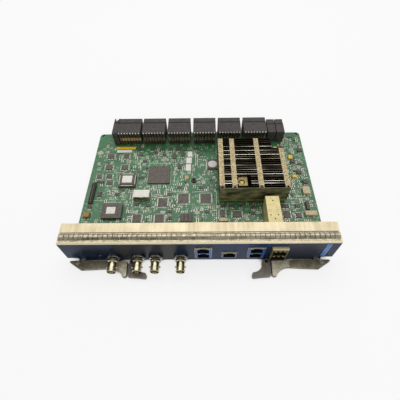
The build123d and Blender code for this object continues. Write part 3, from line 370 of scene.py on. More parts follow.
# Painted shade on the cage's front walls, below the lip and in front of the panel.
painted_front_shade = patches(tree, place, 2.5, "#3B3424", "#85774F", 0.2)
sheet = laid_over(tree, tinned, painted_front_shade, all_of(tree, under_lip, before_panel))
# Painted shade, near black, inside the bays.
tree.links.new(laid_over(tree, sheet, linear("#2A261C"), painted_bay_shade), shader.inputs["Base Color"])
relief(tree, shader, place, 0.7, 0.02, 0.25)
finishes["cage_sheet"] = material
print("cage is dark within", bay_half_width, "mm of its middle")

# %% Fin sheet, a painted highlight of its own strength on each fin's cut top edge, painted shade on the fins behind the first and a painted board reflection on the first
material, tree, shader, place = start_finish("rolled_fin_sheet", 0.25, 0.9)
x_out, y_out, z_out = add_node(tree, "SeparateXYZ", {"Vector": place}).outputs[0:3]
# The first fin carries a painted reflection of the green board, and the fins behind it painted shade.
first_fin_painted_reflection = patches(tree, place, 6.0, "#3F4329", "#A09B72", 0.16, squeeze=(0.5, 1.0, 1.0))
painted_shade_fins = patches(tree, place, 9.0, "#26241A", "#5A5440", 0.2)
sink_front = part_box("heatsink_fins")[0].y / MM - face
fin_pitch, first_depth = 3.3, 0.6
behind_first = step_at(tree, y_out, face + sink_front + first_depth, 0.05)
sheet_face = laid_over(tree, first_fin_painted_reflection, painted_shade_fins, behind_first)
first_at = (face + sink_front) * MM
behind_front = add_node(tree, "Math", {0: y_out, 1: first_at}, {"operation": "SUBTRACT"}).outputs[0]
fin_share = add_node(tree, "Math", {0: behind_front, 1: fin_pitch * MM}, {"operation": "DIVIDE"}).outputs[0]
fin_number = add_node(tree, "Math", {0: fin_share}, {"operation": "FLOOR"}).outputs[0]
own_luck = add_node(tree, "TexWhiteNoise", {"W": fin_number}, {"noise_dimensions": "1D"}).outputs["Value"]
along_fin = fleck_mask(tree, place, 30.0, 0.35, 0.65, squeeze=(1.0, 4.0, 0.0))
highlight_share = add_node(tree, "Mix", {0: 0.25, 2: own_luck, 3: along_fin}).outputs[0]
# Painted highlight on each fin's cut top edge, strong or weak from fin to fin.
painted_edge_highlight = add_node(tree, "ValToRGB", {"Fac": highlight_share},
                    ramp=((0.38, "#241F16"), (0.64, "#7F7763"), (0.86, "#FBF6E8"))).outputs["Color"]
fin_top = top_of("heatsink_fins")
edge_depth = 0.3
near_top = step_at(tree, z_out, fin_top - edge_depth, 0.08)
tree.links.new(laid_over(tree, sheet_face, painted_edge_highlight, near_top), shader.inputs["Base Color"])
shine = add_node(tree, "MapRange", {"Value": behind_first, "To Min": 0.45, "To Max": 0.85}).outputs["Result"]
tree.links.new(shine, shader.inputs["Metallic"])
finishes["fin_metal"] = material
print("fin sheet turns bright above", round(fin_top - edge_depth, 2))

# %% Locked tabs, tan and peppered with dark slots
material, tree, shader, place = start_finish("folded_tab_sheet", 0.45, 0.35)
tan = patches(tree, place, 2.2, "#B29F71", "#E0D0A4", 0.2)
pepper = fleck_mask(tree, place, 1.0, 0.52, 0.6)
tree.links.new(laid_over(tree, tan, linear("#43381F"), pepper, 0.8), shader.inputs["Base Color"])
relief(tree, shader, place, 0.8, 0.05, 0.4)
finishes["tab_sheet"] = material
print("tab finish has", len(tree.nodes), "nodes")


# %% [markdown]
# ## Moulded and other plastics
# Connector bodies, chip packages and latches are all dark, yet not the same dark: the large connectors
# are a brownish grey with a dry surface, chip packages are nearly black with a fine matt grain, and the
# latches are a smoother nylon. Dust and handling lift the tone in patches, so each gets two shades. Paper,
# ink and small ceramic parts are set up in the same way.

# %% Plain plastics
plastics = {
    "latch_plastic": ("moulded_nylon", 0.45, 1.53, 6.0, "#544E45", "#7C7466", 0.6),
    "white_polymer": ("turned_fluoropolymer", 0.45, 1.38, 2.0, "#DAD8CC", "#F5F3E9", 0.6),
    "chip_epoxy": ("moulded_chip_epoxy", 0.5, 1.55, 3.5, "#48413A", "#655D50", 0.35),
    "soft_pad": ("filled_silicone", 0.7, 1.41, 1.0, "#7E8188", "#9A9DA3", 0.5),
    "socket_polymer": ("moulded_socket_polymer", 0.5, 1.6, 3.0, "#3F3A35", "#6B655B", 0.5),
    "beige_ceramic": ("moulded_beige_ceramic", 0.5, 1.6, 2.0, "#A69271", "#DACBA6", 0.6),
    "component_black": ("moulded_small_part", 0.45, 1.55, 1.5, "#38312D", "#5A504A", 0.4),
    "label_paper": ("printed_label_paper", 0.6, 1.45, 1.4, "#D9D4C9", "#F7F5EE", 0.25),
    "label_yellow": ("yellow_label_film", 0.45, 1.45, 2.0, "#D9B418", "#F3D53A", 0.25),
    "label_blue": ("blue_label_film", 0.4, 1.45, 2.5, "#3F66A4", "#6D92C8", 0.25),
    "legend_ink": ("white_legend_ink", 0.6, 1.5, 1.2, "#B9C6B2", "#E9EEE2", 0.2),
    "worn_paper": ("worn_label_paper", 0.6, 1.45, 1.2, "#8E8672", "#D9D1BD", 0.25),
    "chip_ceramic": ("brown_chip_ceramic", 0.45, 1.6, 0.9, "#6E5B45", "#A88F6C", 0.2),
    "tan_pad": ("tan_laminate_pad", 0.5, 1.5, 1.2, "#B58F58", "#D9B98A", 0.2),
}
for slot_name, (name, roughness, ior, patch, dark, light, grain) in plastics.items():
    material, tree, shader, place = start_finish(name, roughness, ior=ior)
    tree.links.new(patches(tree, place, patch, dark, light, 0.2), shader.inputs["Base Color"])
    relief(tree, shader, place, grain, 0.03, 0.35)
    finishes[slot_name] = material
print("plastics", len(plastics))

# %% Yellow epoxy, browned on the old part at the left
material, tree, shader, place = start_finish("moulded_yellow_epoxy", 0.4, ior=1.55)
fresh = patches(tree, place, 1.6, "#D9A60C", "#F8DC3E", 0.2)
browned = patches(tree, place, 1.6, "#5F4A1C", "#B28C34", 0.2)
x_out = add_node(tree, "SeparateXYZ", {"Vector": place}).outputs[0]
right_side = step_at(tree, x_out, 0.0, 1.0)
tree.links.new(laid_over(tree, browned, fresh, right_side), shader.inputs["Base Color"])
relief(tree, shader, place, 0.5, 0.03, 0.35)
finishes["yellow_epoxy"] = material
print("epoxy finish has", len(tree.nodes), "nodes")

# %% Port mouldings, coloured on the front face and black inside
coloured_depth = 0.4
for slot_name, name, dark, light in (("black_polymer", "coloured_port_moulding", "#1C4280", "#3568AC"),
                                     ("port_dark", "dark_port_moulding", "#16294A", "#2C4470")):
    material, tree, shader, place = start_finish(name, 0.35, ior=1.57)
    y_out = add_node(tree, "SeparateXYZ", {"Vector": place}).outputs[1]
    front = patches(tree, place, 3.0, dark, light, 0.2)
    inside = patches(tree, place, 3.0, "#07080B", "#13151B", 0.2)
    behind = step_at(tree, y_out, face - coloured_depth, 0.1)
    tree.links.new(laid_over(tree, front, inside, behind), shader.inputs["Base Color"])
    relief(tree, shader, place, 0.6, 0.03, 0.3)
    finishes[slot_name] = material
print("ports coloured in front of depth", -coloured_depth)

# %% Connector moulding, ribbed along the wafers
material, tree, shader, place = start_finish("moulded_connector_polymer", 0.55, ior=1.6)
shader.inputs["Specular IOR Level"].default_value = 0.35
grey = patches(tree, place, 4.0, "#262322", "#3D3836", 0.2)
pebbles = fleck_mask(tree, place, 0.8, 0.46, 0.6)
grey = laid_over(tree, grey, linear("#877F79"), pebbles, 0.3)
y_out = add_node(tree, "SeparateXYZ", {"Vector": place}).outputs[1]
connector_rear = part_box("connector_housing_1")[1].y / MM - face
groove_front, groove_rear = connector_rear - 10.9, connector_rear - 7.7
# The groove is painted near black, as painted shade in the step.
painted_groove_shade = between_steps(tree, y_out, groove_front, groove_rear, 0.05)
grey = laid_over(tree, grey, linear("#070606"), painted_groove_shade)
wafer_pitch = 3.65
waves = {"Vector": place, "Scale": band_scale(wafer_pitch / 2), "Distortion": 0.0}
ribs = add_node(tree, "TexWave", waves, {"bands_direction": "X"}).outputs["Fac"]
dimmed = add_node(tree, "MapRange", {"Value": ribs, "From Min": 0.0, "From Max": 0.3,
                                     "To Min": 0.5, "To Max": 0.0}).outputs["Result"]
tree.links.new(laid_over(tree, grey, linear("#1E1D1C"), dimmed), shader.inputs["Base Color"])
relief(tree, shader, place, 0.5, 0.03, 0.3)
finishes["connector_polymer"] = material
print("connector ribs every", wafer_pitch / 2, "mm")

# %% Wafers, nearly black, with a painted highlight on the waist where the contacts come out
material, tree, shader, place = start_finish("moulded_wafer_polymer", 0.6, ior=1.6)
shader.inputs["Specular IOR Level"].default_value = 0.25
z_out = add_node(tree, "SeparateXYZ", {"Vector": place}).outputs[2]
black = patches(tree, place, 2.0, "#1C1B12", "#57533B", 0.2)
# The waist carries a painted highlight.
waist_painted_highlight = patches(tree, place, 1.1, "#34302A", "#8F8A78", 0.14)
waist_low, waist_high = 10.4, 16.2
over_waist = step_at(tree, z_out, waist_high, 0.3)
below_top = add_node(tree, "Math", {0: 1.0, 1: over_waist}, {"operation": "SUBTRACT"}).outputs[0]
in_waist = all_of(tree, step_at(tree, z_out, waist_low, 0.3), below_top)
tree.links.new(laid_over(tree, black, waist_painted_highlight, in_waist), shader.inputs["Base Color"])
relief(tree, shader, place, 0.5, 0.03, 0.3)
finishes["wafer_polymer"] = material
print("wafer finish has", len(tree.nodes), "nodes")

# %% Every CAD node gets its finish
own_finish = {"connector_wafers": "wafer_polymer", "jack_nuts": "nut_blue_reflection", "management_body": "port_dark",
              "spring_screws": "spring_screw_steel", "transceiver_cage": "cage_sheet"}
for part in record["subparts"]:
    node = frame["nodes"][part["node"]]
    for index in range(len(node.data.materials)):
        node.data.materials[index] = finishes[own_finish.get(part["node"], part["material_slot"])]
print("dressed", len(record["subparts"]), "nodes")


# %% [markdown]
# ## Modelling helpers
# A new piece starts as a primitive at its size and place, and is then shaped in edit mode. Operators act
# on whatever is selected, and a freshly loaded frame is selected all over, so the helpers clear the
# selection first. A block is shaped at its ends: an end face is made narrower, inset and pushed out, or
# drawn out step by step. A repeated piece is modelled once; its copies each get their own mesh and are
# joined into one object, whose place is then written into the mesh.

# %% Selecting and finishing in code
def clear_selection():
    bpy.ops.object.select_all(action="DESELECT")


def start_block(name, left, right, front, rear, bottom, top):
    clear_selection()
    centre = spot((left + right) / 2, (front + rear) / 2, (bottom + top) / 2)
    bpy.ops.mesh.primitive_cube_add(size=1, location=centre)
    piece = bpy.context.object
    piece.name = name
    piece.scale = ((right - left) * MM, (rear - front) * MM, (top - bottom) * MM)
    bpy.ops.object.transform_apply(location=True, rotation=True, scale=True)
    return piece


def select_faces(piece, wanted):
    """Leaves edit mode open with the faces picked for which wanted(face) holds."""
    bpy.context.view_layer.objects.active = piece
    bpy.ops.object.mode_set(mode="EDIT")
    bpy.context.tool_settings.mesh_select_mode = (False, False, True)
    mesh = bmesh.from_edit_mesh(piece.data)
    for one in mesh.faces:
        one.select = bool(wanted(one))
    mesh.select_flush_mode()
    bmesh.update_edit_mesh(piece.data)


def select_edges(piece, wanted):
    """Leaves edit mode open with the edges picked for which wanted(edge) holds."""
    select_faces(piece, lambda one: False)
    bpy.ops.mesh.select_mode(type="EDGE")
    mesh = bmesh.from_edit_mesh(piece.data)
    for edge in mesh.edges:
        edge.select = bool(wanted(edge))
    mesh.select_flush_mode()
    bmesh.update_edit_mesh(piece.data)


def leave_edit():
    bpy.ops.object.mode_set(mode="OBJECT")


def narrow_end(piece, axis, sense, factors):
    """Scales the face at one end of a block, so that the block tapers to it."""
    select_faces(piece, lambda one: sense * one.normal[axis] > 0.9)
    bpy.ops.transform.resize(value=factors)
    leave_edit()


def raise_end(piece, axis, sense, rim, step):
    """Insets the face at one end of a block and pushes it out by a step."""
    select_faces(piece, lambda one: sense * one.normal[axis] > 0.9)
    bpy.ops.mesh.inset(thickness=rim * MM)
    move = [sense * step * MM if number == axis else 0 for number in range(3)]
    bpy.ops.mesh.extrude_region_move(TRANSFORM_OT_translate={"value": move})
    leave_edit()


def draw_out(piece, sense, steps):
    """Extrudes the rearmost face (sense 1) or the foremost one (sense -1) by steps of outward and up."""
    for outward, up in steps:
        tip = max(sense * corner.co.y for corner in piece.data.vertices)
        select_faces(piece, lambda one: sense * one.calc_center_median().y > tip - 1e-6)
        move = (0, sense * outward * MM, up * MM)
        bpy.ops.mesh.extrude_region_move(TRANSFORM_OT_translate={"value": move})
        leave_edit()


def soften(piece, width, segments=2):
    clear_selection()
    piece.select_set(True)
    bpy.context.view_layer.objects.active = piece
    bevel = piece.modifiers.new("soft_edges", "BEVEL")
    bevel.width = width * MM
    bevel.segments = segments
    bevel.limit_method = "ANGLE"
    bpy.ops.object.modifier_apply(modifier=bevel.name)
    bpy.ops.object.shade_smooth_by_angle(angle=math.radians(35))
    return piece


def dress(piece, finish, body="root"):
    piece.data.materials.clear()
    piece.data.materials.append(finishes[finish])
    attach(piece, body)
    return piece


def copies(pattern, name, places):
    """Copies of a pattern modelled round the origin, at (x, depth, z, turn in degrees), joined into one."""
    made = []
    for x, depth, z, turn in places:
        one = pattern.copy()
        one.data = pattern.data.copy()
        bpy.context.scene.collection.objects.link(one)
        one.matrix_world = Matrix.Translation(spot(x, depth, z)) @ Matrix.Rotation(math.radians(turn), 4, "Z")
        made.append(one)
    bpy.data.objects.remove(pattern)
    clear_selection()
    for one in made:
        one.select_set(True)
    bpy.context.view_layer.objects.active = made[0]
    bpy.ops.object.join()
    joined = bpy.context.object
    joined.name = name
    bpy.ops.object.transform_apply(location=True, rotation=True, scale=True)
    return joined


def joined_with(body, others):
    clear_selection()
    for one in others + [body]:
        one.select_set(True)
    bpy.context.view_layer.objects.active = body
    bpy.ops.object.join()
    return body


def pattern_block(name, width, length, height, base=0.0):
    """A block standing on the origin, for copying."""
    front, rear = -length / 2 - face, length / 2 - face
    return start_block(name, -width / 2, width / 2, front, rear, base, base + height)


def solid_boxes(node_name):
    """Each solid of a CAD node as left, right, front, rear and top in millimetres, from left to right."""
    node = frame["nodes"][node_name]
    mesh = bmesh.new()
    mesh.from_mesh(node.data)
    bmesh.ops.remove_doubles(mesh, verts=mesh.verts, dist=1e-6)
    boxes = []
    waiting = set(mesh.verts)
    for first in mesh.verts:
        if first in waiting:
            waiting.remove(first)
            island, reached = [], [first]
            while reached:
                corner = reached.pop()
                island.append(node.matrix_world @ corner.co / MM)
                for edge in corner.link_edges:
                    other = edge.other_vert(corner)
                    if other in waiting:
                        waiting.remove(other)
                        reached.append(other)
            across, along, up = [[place[axis] for place in island] for axis in range(3)]
            boxes.append((min(across), max(across), min(along) - face, max(along) - face, max(up)))
    mesh.free()
    return sorted(boxes)


def footprints(*node_names):
    """The centre, depth, width and length of every solid in these nodes, as seen from above."""
    return [((left + right) / 2, (front + rear) / 2, right - left, rear - front)
            for node_name in node_names for left, right, front, rear, top in solid_boxes(node_name)]


print("small chip solids in the frame", len(solid_boxes("chip_components")))


# %% [markdown]
# ## Labels
# Paper and film labels lie on chips and board. Each is a thin plate with softened corners, a tenth of a
# millimetre thick, so that its edge throws the fine line which shows on the real card. They are bare.

# %% Label plates
label_height = 0.12


def lay_label(name, x, depth, z, width, length, turn, finish, corner=0.4):
    plate = pattern_block(name, width, length, label_height)
    select_edges(plate, lambda edge: abs((edge.verts[0].co - edge.verts[1].co).normalized().z) > 0.9)
    bpy.ops.mesh.bevel(offset=corner * MM, segments=3)
    leave_edit()
    return dress(copies(plate, name, [(x, depth, z, turn)]), finish)


labels = {
    "yellow_label": (-97.9, 158.5, board_top, 25.8, 4.6, 0, "label_yellow"),
    "white_label": (-99.4, 152.7, board_top, 20.0, 4.4, 0, "label_paper"),
    "upper_tall_label": (-12.4, 146.6, board_top, 6.0, 9.0, 0, "label_paper"),
    "middle_tall_label": (-13.4, 135.6, board_top, 7.0, 10.0, 0, "label_paper"),
    "lower_tall_label": (-14.0, 123.8, board_top, 6.6, 10.6, 0, "label_paper"),
    "corner_label": (-131.0, 150.2, board_top, 6.8, 6.8, 40, "worn_paper"),
    "socket_chip_label": (-88.2, 102.0, top_of("socket_chip"), 12.0, 10.6, 0, "label_paper"),
    "memory_label": (-101.6, 57.7, top_of("boot_memory"), 10.2, 9.0, 0, "label_paper"),
    "can_label": (-68.0, 78.0, top_of("oscillator_can"), 18.0, 10.0, 0, "label_paper"),
    "round_label": (16.6, 126.6, top_of("clock_chip"), 11.0, 11.0, 0, "label_paper", 5.0),
    "tan_patch": (-15.8, 108.1, board_top, 4.6, 5.0, 0, "tan_pad", 0.3),
}
for name, how in labels.items():
    lay_label(name, *how)
print("labels", len(labels))

# %% Blue strip on the face
strip_left, strip_right = 124.6, 129.6
strip = start_block("face_strip", strip_left, strip_right, -0.12, 0.05, 7.5, 34.2)
dress(soften(strip, 0.05), "label_blue")
print("strip width", round(strip_right - strip_left, 2))


# %% [markdown]
# ## Legs of the chips
# A gull-wing leg leaves the package at mid height, drops, and ends in a flat foot in the solder. It is
# a short bar whose end face is drawn out in three steps, then copied along the sides of each package.

# %% One leg, then all of them
def model_leg(name, width, height, reach):
    leg = pattern_block(name, width, 0.3, 0.16, height)
    draw_out(leg, -1, ((0.35, 0.0), (0.25, 0.02 - height), (reach, 0.0)))
    return leg


def leg_places(x, depth, width, length, pitch, sides):
    found = []
    across_count = int((width - 1.2) / pitch) + 1
    along_count = int((length - 1.2) / pitch) + 1
    if "ends" in sides:
        for number in range(across_count):
            offset = (number - (across_count - 1) / 2) * pitch
            found.append((x + offset, depth - length / 2, board_top, 0))
            found.append((x + offset, depth + length / 2, board_top, 180))
    if "flanks" in sides:
        for number in range(along_count):
            offset = (number - (along_count - 1) / 2) * pitch
            found.append((x - width / 2, depth + offset, board_top, -90))
            found.append((x + width / 2, depth + offset, board_top, 90))
    return found


legs_at = []
for pitch, sides, node_names in ((1.9, "ends flanks", ["logic_chips"]),
                                 (1.0, "ends flanks", ["memory_chips", "clock_chip"]),
                                 (1.9, "ends", ["chip_components"]), (1.6, "ends", ["line_transformer"])):
    for x, depth, width, length in footprints(*node_names):
        legs_at += leg_places(x, depth, width, length, pitch, sides)
legs = copies(model_leg("leg", 0.55, 0.75, 0.6), "chip_legs", legs_at)
dress(legs, "solder_tin")
print("legs", len(legs_at), "triangles", sum(len(p.vertices) - 2 for p in legs.data.polygons))


# %% Solder pads under the feet
def model_pad(name, width, length):
    """A thin plate whose top is a little smaller than its foot, as solder draws in."""
    pad = pattern_block(name, width, length, 0.06)
    narrow_end(pad, 2, 1, (0.8, 0.85, 1))
    return pad


pad_shifts, pad_reach = (-0.27, 0.27), 0.6
pad_places = []
for x, depth, width, length in footprints("chip_components", "logic_chips", "tantalum_capacitors",
                                          "power_diode", "power_inductor", "line_fuse", "crystal"):
    for side in (-1, 1):
        beside = depth + side * (length / 2 + pad_reach)
        pad_places += [(x + shift * width, beside, board_top, 0) for shift in pad_shifts]
for x, depth, width, length in footprints("logic_chips"):
    for side in (-1, 1):
        beside = x + side * (width / 2 + pad_reach)
        pad_places += [(beside, depth + shift * length, board_top, 90) for shift in pad_shifts]
dress(copies(model_pad("pad", 1.5, 2.0), "solder_pads", pad_places), "pale_tin")
ring_x, ring_depth, ring_radius, ring_count = -6.8, 101.8, 4.3, 10
screw_ring = []
for number in range(ring_count):
    turn = number * math.tau / ring_count
    screw_ring.append((ring_x + ring_radius * math.cos(turn), ring_depth + ring_radius * math.sin(turn),
                       board_top, math.degrees(turn)))
dress(copies(model_pad("ring_pad", 1.1, 1.1), "screw_ring_pads", screw_ring), "pale_tin")
print("pads", len(pad_places) + len(screw_ring))


# %% [markdown]
# ## Legend print
# White ink frames the parts on a real board. A frame is a thin plate whose top is inset and whose middle
# is deleted, so the ink is a closed line a few hundredths of a millimetre thick. The letters that stand
# beside such frames are left out, and short bars take their place.

# %% Frames and bars of ink
def model_frame(name, width, length, line):
    plate = pattern_block(name, width, length, 0.04)
    select_faces(plate, lambda one: abs(one.normal.z) > 0.9)
    bpy.ops.mesh.inset(thickness=line * MM, use_individual=True)
    leave_edit()
    select_faces(plate, lambda one: abs(one.normal.z) > 0.9 and one.calc_center_median().xy.length < 1e-6
                 and one.calc_area() < (width - line) * (length - line) * MM * MM)
    bpy.ops.mesh.delete(type="FACE")
    leave_edit()
    select_edges(plate, lambda edge: edge.is_boundary)
    bpy.ops.mesh.bridge_edge_loops()
    bpy.ops.mesh.select_all(action="SELECT")
    bpy.ops.mesh.normals_make_consistent(inside=False)
    leave_edit()
    return plate


def frames_round(name, margin, line, *node_names):
    """One thin frame round every solid of these nodes, joined into one piece."""
    made = []
    for x, depth, width, length in footprints(*node_names):
        frame_here = model_frame("frame", width + 2 * margin, length + 2 * margin, line)
        made.append(copies(frame_here, "frame", [(x, depth, board_top, 0)]))
    joined = joined_with(made[0], made[1:])
    joined.name = name
    return dress(joined, "legend_ink")


frames_round("large_chip_frames", 1.1, 0.3, "processor", "chip_socket", "oscillator_can")
frames_round("logic_chip_frames", 1.7, 0.25, "logic_chips")
frames_round("memory_chip_frames", 1.6, 0.25, "memory_chips", "clock_chip")
frames_round("coil_and_fuse_frames", 1.8, 0.3, "power_inductor", "line_fuse", "tantalum_capacitors",
             "power_diode")
print("frames round the larger parts done")


# %% Rows of holes and dashes of ink that follow the tracks
def along_row(start_x, start_depth, end_x, end_depth, count, turn=0):
    shares = [number / (count - 1) for number in range(count)]
    return [(start_x + (end_x - start_x) * share, start_depth + (end_depth - start_depth) * share,
             board_top, turn) for share in shares]


hole_rows = []
for row in ((-64, 131.2, -33, 131.2, 24), (-33, 86.2, -16, 85.4, 12), (-8, 85.0, 11, 86.6, 13),
            (19.6, 40, 20.4, 86, 26), (17.2, 44, 17.8, 66, 9), (-124, 131.0, -119, 131.0, 3),
            (-31, 118, -31, 96, 14), (-79, 92, -79, 66, 14), (-84, 38, -60, 37.4, 14),
            (106, 78, 125, 77.4, 12), (106, 74.6, 125, 74, 12), (108, 140, 116, 168, 12),
            (121, 104, 123, 88, 8), (-8, 63.4, 12, 63.4, 12), (30, 36, 62, 36, 18),
            (-126, 74, -112, 73.4, 7)):
    hole_rows += along_row(*row)
dress(copies(model_pad("hole_ring", 0.85, 0.7), "hole_rows", hole_rows), "solder_tin")
dash_rows = []
for row in ((5.0, 105, 9.6, 105, 3, 90), (-40, 92.6, -28, 92.6, 5, 90), (-62, 38, -52, 38, 4),
            (-72, 59.4, -60, 59.4, 3), (-14, 61, 4, 61, 4), (-56, 94.2, -48, 94.2, 5, 90),
            (-108, 70.6, -94, 70.6, 4), (-111, 75.2, -102, 75.2, 2), (-98, 75.2, -90, 75.2, 2),
            (108, 116, 112, 124, 4), (117, 142, 121, 160, 6, 90)):
    dash_rows += along_row(*row)
dash = pattern_block("ink_dash", 3.2, 0.5, 0.035)
narrow_end(dash, 2, 1, (0.94, 0.7, 1))
dress(copies(dash, "ink_dashes", dash_rows), "legend_ink")
print("holes", len(hole_rows), "dashes", len(dash_rows))


# %% [markdown]
# ## Small parts on the bare board
# Hundreds of chip capacitors and resistors fill the space between the large parts. Each kind is modelled
# once: a block whose ends are extruded into tinned caps. Where to put them is asked of the frame itself:
# a ray is dropped on the corners of each place, and a part is only set where all of them meet bare board.
# The seed is fixed, so the same card is made each time.

# %% Is the board bare here?
scene = bpy.context.scene
board_node = frame["nodes"]["circuit_board"]
scatter = random.Random(11)
taken = []


def bare_here(x, depth, half_width, half_length):
    graph = bpy.context.evaluated_depsgraph_get()
    for dx in (-half_width, 0, half_width):
        for dy in (-half_length, 0, half_length):
            start = spot(x + dx, depth + dy, 60)
            ray = scene.ray_cast(graph, start, Vector((0, 0, -1)))
            hit, where, found = ray[0], ray[1], ray[4]
            if not hit or found.name != board_node.name or where.z < (board_top - 0.01) * MM:
                return False
    for other_x, other_depth, other_w, other_l in taken:
        if abs(x - other_x) < half_width + other_w and abs(depth - other_depth) < half_length + other_l:
            return False
    return True


# Regions as left, right, front, rear and how many tries go into each; the crowded ones lie round the
# heatsink, at the right and between the large chips.
regions = [
    (-132, -104, 88, 160, 60), (-106, -60, 112, 160, 120), (-60, -14, 126, 162, 170),
    (-16, 22, 104, 162, 110), (-112, -60, 84, 118, 60), (-132, -84, 26, 50, 60),
    (-112, -76, 66, 92, 60), (-84, -30, 26, 66, 190), (-62, -14, 62, 98, 150),
    (-34, 22, 56, 104, 130), (-30, 22, 24, 60, 110), (-32, -14, 84, 126, 60),
    (20, 74, 24, 68, 190), (88, 132, 24, 72, 130), (102, 133, 70, 176, 420), (104, 128, 90, 130, 90),
]
half_sizes = {"capacitor": (1.8, 0.9), "resistor": (1.8, 0.9),
              "transistor": (1.7, 1.5), "outline": (2.2, 1.5)}
parts_here = []
for left, right, front, rear, tries in regions:
    for number in range(tries):
        x = round(scatter.uniform(left, right) * 2) / 2
        depth = round(scatter.uniform(front, rear) * 2) / 2
        kind = scatter.choices(("capacitor", "resistor", "transistor", "outline"), (4, 4, 1, 2))[0]
        turned = scatter.random() < 0.5
        in_row = scatter.choices((1, 2, 3, 5), (5, 4, 3, 2))[0] if kind in ("capacitor", "resistor") else 1
        half = half_sizes[kind][::-1] if turned else half_sizes[kind]
        row_step = 2 * half_sizes[kind][1] + 0.2
        for place_in_row in range(in_row):
            row_x = x + (place_in_row * row_step if turned else 0)
            row_depth = depth + (0 if turned else place_in_row * row_step)
            if not bare_here(row_x, row_depth, half[0], half[1]):
                break
            taken.append((row_x, row_depth, half[0], half[1]))
            parts_here.append((kind, row_x, row_depth, 90 if turned else 0))
print("small parts placed", len(parts_here))


# %% Chip capacitors and resistors
def model_chip(name, length, width, height, cap, body_slot):
    chip = pattern_block(name, length - 2 * cap, width, height)
    chip.data.materials.append(finishes[body_slot])
    chip.data.materials.append(finishes["solder_tin"])
    for sense in (-1, 1):
        raise_end(chip, 0, sense, 0.02, cap)
    edge = (length / 2 - cap) * MM
    for one in chip.data.polygons:
        one.material_index = 1 if abs(one.center.x) > edge + 1e-5 else 0
    pads = [start_block("pad", x - 0.5, x + 0.5, -width / 2 - 0.15 - face, width / 2 + 0.15 - face, 0, 0.05)
            for x in (-length / 2, length / 2)]
    for pad in pads:
        pad.data.materials.append(finishes[body_slot])
        pad.data.materials.append(finishes["solder_tin"])
        for one in pad.data.polygons:
            one.material_index = 1
    return joined_with(chip, pads)


def of_kind(kind):
    return [(x, depth, board_top, turn) for found, x, depth, turn in parts_here if found == kind]


def set_on_board(model, name, kind):
    """Copies a model to every place of its kind. It has its own two finishes, so it isn't dressed."""
    group = copies(model, name, of_kind(kind))
    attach(group, "root")
    print(name, len(of_kind(kind)))


set_on_board(model_chip("capacitor", 2.0, 1.2, 1.0, 0.4, "chip_ceramic"), "chip_capacitors", "capacitor")
set_on_board(model_chip("resistor", 2.0, 1.2, 0.55, 0.35, "component_black"), "chip_resistors", "resistor")


# %% Small transistors on three legs
def model_transistor(name):
    body = pattern_block(name, 2.9, 1.5, 1.0, 0.15)
    body.data.materials.append(finishes["component_black"])
    body.data.materials.append(finishes["solder_tin"])
    feet = [start_block("foot", x - 0.22, x + 0.22, y - 0.3 - face, y + 0.3 - face, 0, 0.3)
            for x, y in ((-0.95, -1.0), (0.95, -1.0), (0.0, 1.0))]
    for foot in feet:
        foot.data.materials.append(finishes["solder_tin"])
    return joined_with(body, feet)


set_on_board(model_transistor("transistor"), "small_transistors", "transistor")


# %% Ink round the small parts
framed = of_kind("outline") + of_kind("capacitor")[::3]
dress(copies(model_frame("ink_frame", 3.4, 2.2, 0.28), "legend_frames", framed), "legend_ink")
bar_places = []
for kind, x, depth, turn in parts_here[::2]:
    offset = 1.5 if turn == 0 else 2.0
    if bare_here(x + 0.4, depth + offset + 0.01, 0.3, 0.1) or scatter.random() < 0.4:
        bar_places.append((x + 0.3, depth + offset, board_top, turn))
bars = copies(pattern_block("ink_bar", 1.8, 0.45, 0.035), "legend_bars", bar_places)
dress(bars, "legend_ink")
print("ink frames", len(framed), "bars", len(bar_places))


# %% [markdown]
# ## Connector contacts
# Each wafer of the rear connectors shows legs in the waist of its front edge, and at its top a pale peg
# that is a painted highlight on the wafer's top edge.
# The legs are gilt in the first connector and tinned in the others. Pegs and legs are blocks with one
# raised end.

# %% Pegs and legs along the connectors
wafer_count, peg_bottom, waist_bottom, waist_step = 8, 23.9, 10.9, 2.2
connector_centres = [middle_of("connector_housing_%d" % number) for number in range(1, 7)]
connector_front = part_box("connector_housing_1")[0].y / MM - face
wafer_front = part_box("connector_wafers")[0].y / MM - face


def wafer_middles(centres):
    """Where each wafer of the connectors with these centres stands across the card."""
    return [centre + (number - (wafer_count - 1) / 2) * wafer_pitch
            for centre in centres for number in range(wafer_count)]


# The pale pegs are painted highlights on the wafers' top edges.
highlight_peg_places = [(x, connector_front - 0.1, peg_bottom, 0) for x in wafer_middles(connector_centres)]
peg = pattern_block("peg", 1.3, 0.7, 1.2)
raise_end(peg, 1, -1, 0.15, 0.15)
dress(copies(peg, "connector_highlight_pegs", highlight_peg_places), "label_paper")


def model_waist_leg(name, width, height):
    leg = pattern_block(name, width, 0.7, height)
    raise_end(leg, 1, -1, 0.12, 0.12)
    return leg


def waist_places(centres):
    return [(x + side, wafer_front + 0.75, waist_bottom + row * waist_step, 0)
            for x in wafer_middles(centres) for side in (-0.8, 0.8) for row in (0, 1)]


gilt_from_x = -103.0
gilt_places = [place for place in waist_places(connector_centres[:1]) if place[0] > gilt_from_x]
tin_places = waist_places(connector_centres[1:])
dress(copies(model_waist_leg("gilt_leg", 0.95, 1.9), "gilt_waist_contacts", gilt_places), "bright_gilt")
dress(copies(model_waist_leg("tin_leg", 0.6, 1.1), "tin_waist_contacts", tin_places), "dull_tin")
print("pegs", len(highlight_peg_places), "legs", len(gilt_places) + len(tin_places))


# %% [markdown]
# ## Locking tabs of the fin pack
# Every fin has a tab folded from its top edge that hooks into the next fin, and together they make four
# tan strips with a dark slot at each fin. One tab is a plate, its middle inset and pushed down for the
# slot, and it is copied along the strips at the fins' pitch. The right strip ends at the notch in the
# rear corner of the pack.

